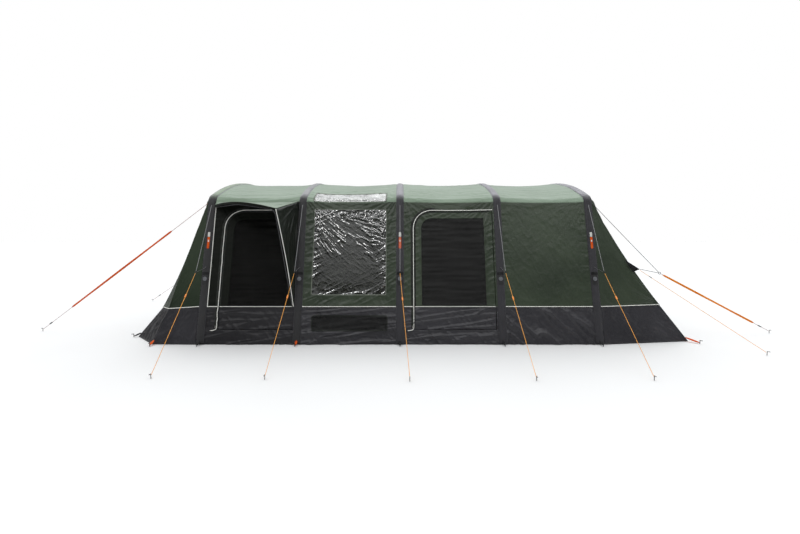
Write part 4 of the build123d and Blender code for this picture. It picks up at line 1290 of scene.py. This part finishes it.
def room_wall(y, z, out=0.0):
    """The bedroom's front wall, under the room's outline. Outward is towards the living space."""
    top = np.interp(np.abs(y), -room_edge[::-1, 1], room_edge[::-1, 2])
    hang = 0.010 * noise(y / 0.10, z / 0.9, 301) + 0.004 * noise(y / 0.04, z / 0.5, 302)
    edge = np.minimum.reduce([box_edge(np.abs(y), z, ROOM_DOOR), z - ROOM_FLOOR, np.maximum(top - z, 0)])
    out = out + hang * unit(edge / 0.08)
    return np.stack([ROOM_FRONT + 0.003 - out, y, np.minimum(z, top)], -1)


y0, y1, z0, z1 = ROOM_DOOR
ROOM_HOLES = [((y0, y1, z0, z1), 0), ((-y1, -y0, z0, z1), 0)]
made = cloth_grid("bedroom_front", (-1.76, 1.76, ROOM_FLOOR, 2.0), (0.026, 0.03), room_wall, ROOM_HOLES)
weld(made)
cloth(made, INNER, ["bedroom_inner"])
for side_name, side in SIDES:
    a, b = sorted((side * (y0 + DOOR_GAP), side * (y1 - DOOR_GAP)))
    leaf = (a, b, z0 + DOOR_GAP, z1 - DOOR_GAP)
    body = f"bedroom_door_{side_name}"
    made = cloth_grid(
        f"{body}_leaf", leaf, 0.022,
        lambda y, z: room_wall(
            y, z, 0.008 * noise(y / 0.12, z / 0.8, 311) * unit(box_edge(y, z, leaf) / 0.1)
        ),
    )
    cloth(made, INNER, [body], body=body)
    tape_round(f"{body}_hem", (leaf, 0), -0.014, -0.001, room_wall, INNER_TAPE, body=body)


# ---------------------------------------------------------------- porch canopy
CANOPY_EDGE = [np.array(p) for p in ((-2.390, -1.500, 1.722), (-1.930, -1.855, 1.732), (-1.490, -1.875, 1.655))]
WING_FOOT = np.array((-1.318, -1.826, 0.455))


def canopy_edge(t):
    """The canopy's outer edge, one curve through its three points."""
    t = np.asarray(t, float)[..., None]
    a, b, c = CANOPY_EDGE
    control = 2 * b - (a + c) / 2
    return a * (1 - t) ** 2 + control * 2 * t * (1 - t) + c * t**2


CANOPY_COLS, CANOPY_ROWS = 90, 30
t = np.linspace(0, 1, CANOPY_COLS)
wall_x = np.interp(t, (0, 1), (BEAM_X[0] + 0.054, BEAM_X[1] - 0.054))
wall_row = skin(wall_x, np.full(CANOPY_COLS, WALL_S + 0.01), 0.007)
points = ruled(wall_row, canopy_edge(t) - (0, 0, 0.002), CANOPY_ROWS)
gu, gv = np.meshgrid(t * 1.1, np.linspace(0, 0.45, CANOPY_ROWS))
hollow = 0.020 * np.sin(np.pi * unit(gv / 0.45)) * np.sin(np.pi * gu / 1.1)
folds = 0.004 * streaks(gu, gv, 70, 0.3, 0.06, 321) + 0.010 * fan(1.1 - gu, gv, 0.0, 0.05, 0.35, 323, 26)
points = creased(points, (folds - hollow) * rim_fade(CANOPY_ROWS, CANOPY_COLS, 2), (0, -0.3, 1))
# The canopy's top is painted light; under it, a second sheet in the darker porch cloth is painted shade.
for part, sheet, material in (
    ("sheet", points, CANOPY_LIT_CLOTH), ("lining", points - (0, 0, 0.004), PORCH_SHADED_CLOTH)
):
    patch(f"canopy_{part}", sheet, material, ["porch_canopy"], flip=True)

# A dark hem hangs along the edge.
# The hem is cut from the darker porch copy of the wall cloth: painted shade.
hem = canopy_edge(t)
drop = np.stack([hem, hem + (0, 0.004, -0.012), hem + (0, 0.010, -0.030)], 0)
drop[1:] += np.array([0, 0, 0.0015]) * noise(t * 60, t * 0, 331)[None, :, None]
patch("canopy_hem", drop, PORCH_SHADED_CLOTH, [])

# The wing: from the canopy's corner down to the foot of its own edge.
WING_COLS, WING_ROWS = 34, 70
bow = np.sin(np.pi * np.linspace(0, 1, WING_ROWS))[:, None] * np.array([0.012, 0.010, 0])
back_edge = ruled(wall_row[-1] - (0, 0, 0.006), WING_FOOT, WING_ROWS)
front_edge = ruled(CANOPY_EDGE[2] - (0, 0, 0.008), WING_FOOT, WING_ROWS) + bow
points = ruled(back_edge, front_edge, WING_COLS).transpose(1, 0, 2)
gu, gv = np.meshgrid(np.linspace(0, 0.4, WING_COLS), np.linspace(0, 1.25, WING_ROWS))
folds = 0.006 * streaks(gu, gv, 72, 0.5, 0.05, 341) + 0.022 * fan(gu, gv, 0.0, 0.0, 0.35, 343, 30)
points = creased(points, folds * rim_fade(WING_ROWS, WING_COLS, 2), (1, -0.3, 0))
# The wing is in the darker copy of the wall cloth: painted shade.
patch("wing_sheet", points, WING_SHADED_CLOTH, ["canopy_wing"])
edge_line = front_edge[np.linspace(0, WING_ROWS - 1, 8).astype(int)] - (0, 0.004, 0)
piping("wing_piping", edge_line)

# Piping down the right side of the first beam, from the eave to the mud wall.
across = BEAM_X[0] + SLEEVE_HALF + 0.013
down = np.linspace(MUD_S + 0.004, WALL_S - 0.05, 12)
piping("porch_side_piping", skin(np.full(12, across), down, PIPING_UP))


# ---------------------------------------------------------------- piping along the mud wall
# It stops short of each sleeve and each door.
clear = SLEEVE_HALF + 0.010
gaps = [(x - clear, x + clear) for x in BEAM_X] + [(box[0] - 0.020, box[1]) for box in (PORCH_DOOR, SIDE_DOOR)]
gaps.sort()
for k, ((_, a), (b, _)) in enumerate(zip(gaps, gaps[1:]), 1):
    if b - a > 0.05:
        across = np.linspace(a, b, max(3, int((b - a) / 0.06)))
        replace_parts(piping(f"wall_piping_{k}", skin(across, np.full(len(across), MUD_S), PIPING_UP)), "wall_piping")
for label, end, corners, sign in (("front", front, FRONT_TOP, -1), ("rear", rear, REAR_TOP, 1)):
    beam = BEAM_X[0] if sign < 0 else BEAM_X[-1]
    start = along_tunnel(beam + sign * clear, MUD_S, -FABRIC_DEPTH + PIPING_UP)
    points = [start, *[np.array(p) + (sign * 0.005, -0.006, 0.004) for p in corners]]
    for k, (a, b) in enumerate(zip(points, points[1:]), 1):
        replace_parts(piping(f"piping_{label}_{k}", (a, (a + b) / 2, b)), "wall_piping")
    across = points[-1] + (sign * 0.004, 0.010, 0)
    made = piping(f"piping_{label}_end", (across, across * (1, 0, 1), mirror_y(across)))
    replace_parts(made, "wall_piping")


# ---------------------------------------------------------------- valves, tabs and straps
def leg_plate(name, x, z, size, thick, material, replaces=(), lift=0.0, dome=0.0, round_by=0.3):
    """A soft-edged plate or patch wrapped over a beam's near leg."""
    width, height = size
    u, w = np.meshgrid(np.linspace(-1, 1, 15), np.linspace(-1, 1, 27))
    power = 2 / round_by
    r = (np.abs(u) ** power + np.abs(w) ** power) ** (1 / power)
    square = np.maximum(np.abs(u), np.abs(w))
    squeeze = np.where(r > 1e-6, square / np.maximum(r, 1e-6), 1)
    d, h = u * squeeze * width / 2, w * squeeze * height / 2
    slope = z / math.cos(LEAN) + h
    crown = 0.0095 * (1 - np.sqrt(unit(1 - (d / 0.049) ** 2)))
    rise = 0.0055 - crown + lift + thick + dome * (1 - square**2)
    made = grid_object(name, along_tunnel(x + d, slope, rise), d, h)
    solidify(made, thick)
    bevel = made.modifiers.new("soft edge", "BEVEL")
    bevel.width = min(0.0012, thick * 0.4)
    bevel.segments = 2
    bevel.limit_method = "ANGLE"
    finish_piece(made, material, "root", replaces)


VALVE_Z, TAB_Z = 0.785, 1.265
for number, x in enumerate(BEAM_X, 1):
    leg_plate(
        f"valve_pocket_{number}", x, VALVE_Z, (0.070, 0.155), 0.004, POCKET, ["valve_pockets"], dome=0.006,
    )
    leg_plate(
        f"valve_pocket_lip_{number}", x, VALVE_Z + 0.066, (0.082, 0.036), 0.003, BLACK_WEB,
        lift=0.0045, dome=0.003,
    )
leg_plate("sleeve_clip", BEAM_X[1], 1.41, (0.030, 0.040), 0.005, BLACK, round_by=0.4)
for number in (1, 3, 5):
    for part, up, size, thick, material, nodes, lift, round_by in (
        ("patch", -0.030, (0.030, 0.150), 0.0018, ORANGE_WEB, ["beam_tabs"], 0.0, 0.25),
        ("end", 0.075, (0.030, 0.060), 0.0018, TAB_WHITE, ["beam_tabs"], 0.0, 0.25),
        ("stitch", -0.006, (0.016, 0.026), 0.0012, TAB_WHITE, [], 0.0012, 0.4),
    ):
        x = BEAM_X[number - 1]
        leg_plate(f"tab_{part}_{number}", x, TAB_Z + up, size, thick, material, nodes, lift, 0.0, round_by)


# A valve cap's lid is turned: its profile is (radius, height) pairs along the beam's outward direction.
OUTWARD = Vector((0, -math.cos(LEAN), math.sin(LEAN))).normalized()
across = OUTWARD.orthogonal().normalized()
up = OUTWARD.cross(across)
LID_AROUND = 40
LID = (
    (0.026, 0), (0.026, 0.0045), (0.0245, 0.0066), (0.0195, 0.0072),
    (0.0185, 0.0060), (0.010, 0.0060), (0.0085, 0.0072), (0.002, 0.0076),
)
for number, x in enumerate(BEAM_X, 1):
    cap = f"valve_cap_{number}"
    low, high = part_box(cap)
    centre = (low + high) / 2 - OUTWARD * 0.0035
    verts = []
    for r, h in LID:
        for a in (math.tau * k / LID_AROUND for k in range(LID_AROUND)):
            verts.append(centre + OUTWARD * h + across * (r * math.cos(a)) + up * (r * math.sin(a)))
    made = new_object(f"{cap}_lid", verts, ringed_faces(len(LID), LID_AROUND))
    finish_piece(made, CAP, cap, [cap])

PEG_OUTS = [
    ((x, -HALF_WIDTH, 0), (x, MUD_TOP * math.tan(LEAN) - HALF_WIDTH, MUD_TOP), (0, -1), 0.078) for x in BEAM_X
]
PEG_OUTS += [
    (FRONT_GROUND[0], FRONT_TOP[0], (0.1, -0.995), 0.095),
    (FRONT_GROUND[1], FRONT_TOP[1], (-0.92, -0.4), 0.078),
    (REAR_GROUND[0], REAR_TOP[0], (0.6, -0.8), 0.150),
]
STRAP_HIGH, STRAP_LOW = 0.048, 0.014
for k, (ground, high, (out_x, out_y), reach) in enumerate(PEG_OUTS, 1):
    for side_name, side in SIDES:
        out = Vector((out_x, out_y, 0))
        ground, high = Vector(ground), Vector(high)
        start = ground + (high - ground) * (STRAP_HIGH / high.z) + out * 0.004
        end = Vector((start.x, start.y, STRAP_LOW)) + out * reach
        orange = k in (2, 6, 8)
        flat_strap(
            f"peg_strap_{side_name}_{k}", to_side(start, side), to_side(end, side), 0.034,
            ORANGE_WEB if orange else BLACK_WEB, "peg_straps", (0, 0.5 * side, 1),
        )

# The black tab at the rear corner guy.
TAB_CORNERS = [np.array(p) for p in ((2.872, -1.606, 1.022), (2.975, -1.632, 0.862), (3.055, -1.636, 0.900))]
for side_name, side in SIDES:
    a, b, c = TAB_CORNERS
    points = ruled(ruled(a, b, 14), c, 14).transpose(1, 0, 2)
    points = points if side < 0 else mirror_y(points)
    patch(f"guy_tab_{side_name}", points, BLACK_WEB, ["guy_tabs"], thick=0.003, flip=side > 0)


# ---------------------------------------------------------------- air beams and what stays as the CAD has it
for number, x in enumerate(BEAM_X, 1):
    ss = lines_between(0.022, OUTLINE.total - 0.022, 0.03)
    ga, gs = np.meshgrid(np.linspace(0, math.tau, 25), ss)
    near = nearest(gs)
    kink = np.exp(-(((near - OUTLINE.leg - 0.06) / 0.09) ** 2))
    r = 0.0435 + 0.0012 * kink * np.sin(gs / 0.012) * (np.sin(ga) < 0.2) + 0.0004 * noise(ga * 2, gs / 0.1, 351)
    end = np.clip(np.minimum(gs - 0.02, OUTLINE.total - 0.02 - gs) / 0.05, 0.05, 1)
    r *= np.sqrt(1 - (1 - end) ** 2)
    points = along_tunnel(x + r * np.cos(ga), gs, -0.056 + r * np.sin(ga))
    uvs = np.stack([ga * 0.045, gs], -1).reshape(-1, 2)
    made = new_object(f"air_tube_{number}", points.reshape(-1, 3), quads(*ga.shape)[:, [0, 3, 2, 1]], uvs)
    weld(made)
    finish_piece(made, TUBE, "root", [f"air_beam_{number}"])

KEPT = {"guy_pegs": STEEL, "foot_pegs": BLACK, "guy_rings": BLACK, "canopy_rod": ROD}
for name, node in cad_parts.items():
    if name.startswith("runner"):
        KEPT[name] = BLACK if "front" in name or "rear" in name else ORANGE_PLASTIC
    if name.startswith("zip_slider"):
        KEPT[name] = STEEL
    if name in KEPT:
        node.data.materials.clear()
        node.data.materials.append(KEPT[name])


# ---------------------------------------------------------------- floor and light
floor = new_object("floor", [(-60, -40, 0), (60, -40, 0), (60, 60, 0), (-60, 60, 0)], [(0, 1, 2, 3)], smooth=False)
floor.location.z = -0.002
paper = Nodes("floor_paper")
paper.colour(paper.ramp(paper.noise(0.6, 2), 0.3, (0.925, 0.925, 0.92), 0.7, (0.945, 0.945, 0.94)))
paper.shader_values(Roughness=0.9)
floor.data.materials.append(paper.material)

world = bpy.data.worlds.new("studio")
world.use_nodes = True
bpy.context.scene.world = world
sky = Tree(world.node_tree)
direction = sky.add("TexCoord", "Generated", {})
above = sky.span(sky.axis(direction, 2), 0.25, 0.80, 0.10, 1.62)
behind = sky.span(sky.axis(direction, 1), -0.8, 0.8, 0.47, 1.53)
glow = sky.add("Background", 0, {"Color": (0.97, 0.985, 1.0, 1), "Strength": sky.maths("MULTIPLY", above, behind)})
plain = sky.add("Background", 0, {"Color": (1, 1, 1, 1)})
shown = sky.add("MixShader", 0, {0: sky.add("LightPath", "Is Camera Ray", {}), 1: glow, 2: plain})
sky.link(shown, sky.tree.nodes["World Output"].inputs["Surface"])

# The lamps that shape the tent leave the floor alone, so that it keeps the soft shadow of the tent.
off_floor = bpy.data.collections.new("off_floor")
off_floor.objects.link(floor)
off_floor.collection_objects[0].light_linking.link_state = "EXCLUDE"


def softbox(name, at, look, size, power):
    data = bpy.data.lights.new(name, "AREA")
    data.shape = "RECTANGLE"
    data.size, data.size_y = size
    data.energy = power
    made = linked(name, data)
    made.location = at
    made.rotation_euler = (Vector(look) - Vector(at)).to_track_quat("-Z", "Y").to_euler()
    made.visible_camera = False
    made.light_linking.receiver_collection = off_floor


softbox("key", (-4.5, -7.0, 7.5), (-1, -1, 0.8), (1.5, 1.5), 60)
for number, (x, wide) in enumerate(((-3.5, 2.4), (0.5, 3.0), (4.0, 2.0)), 1):
    softbox(f"strip_{number}", (x, -6.0, 6.2), (x * 0.6, -1.6, 1.2), (wide, 0.45), 34)
bpy.context.scene.view_settings.view_transform = "Standard"
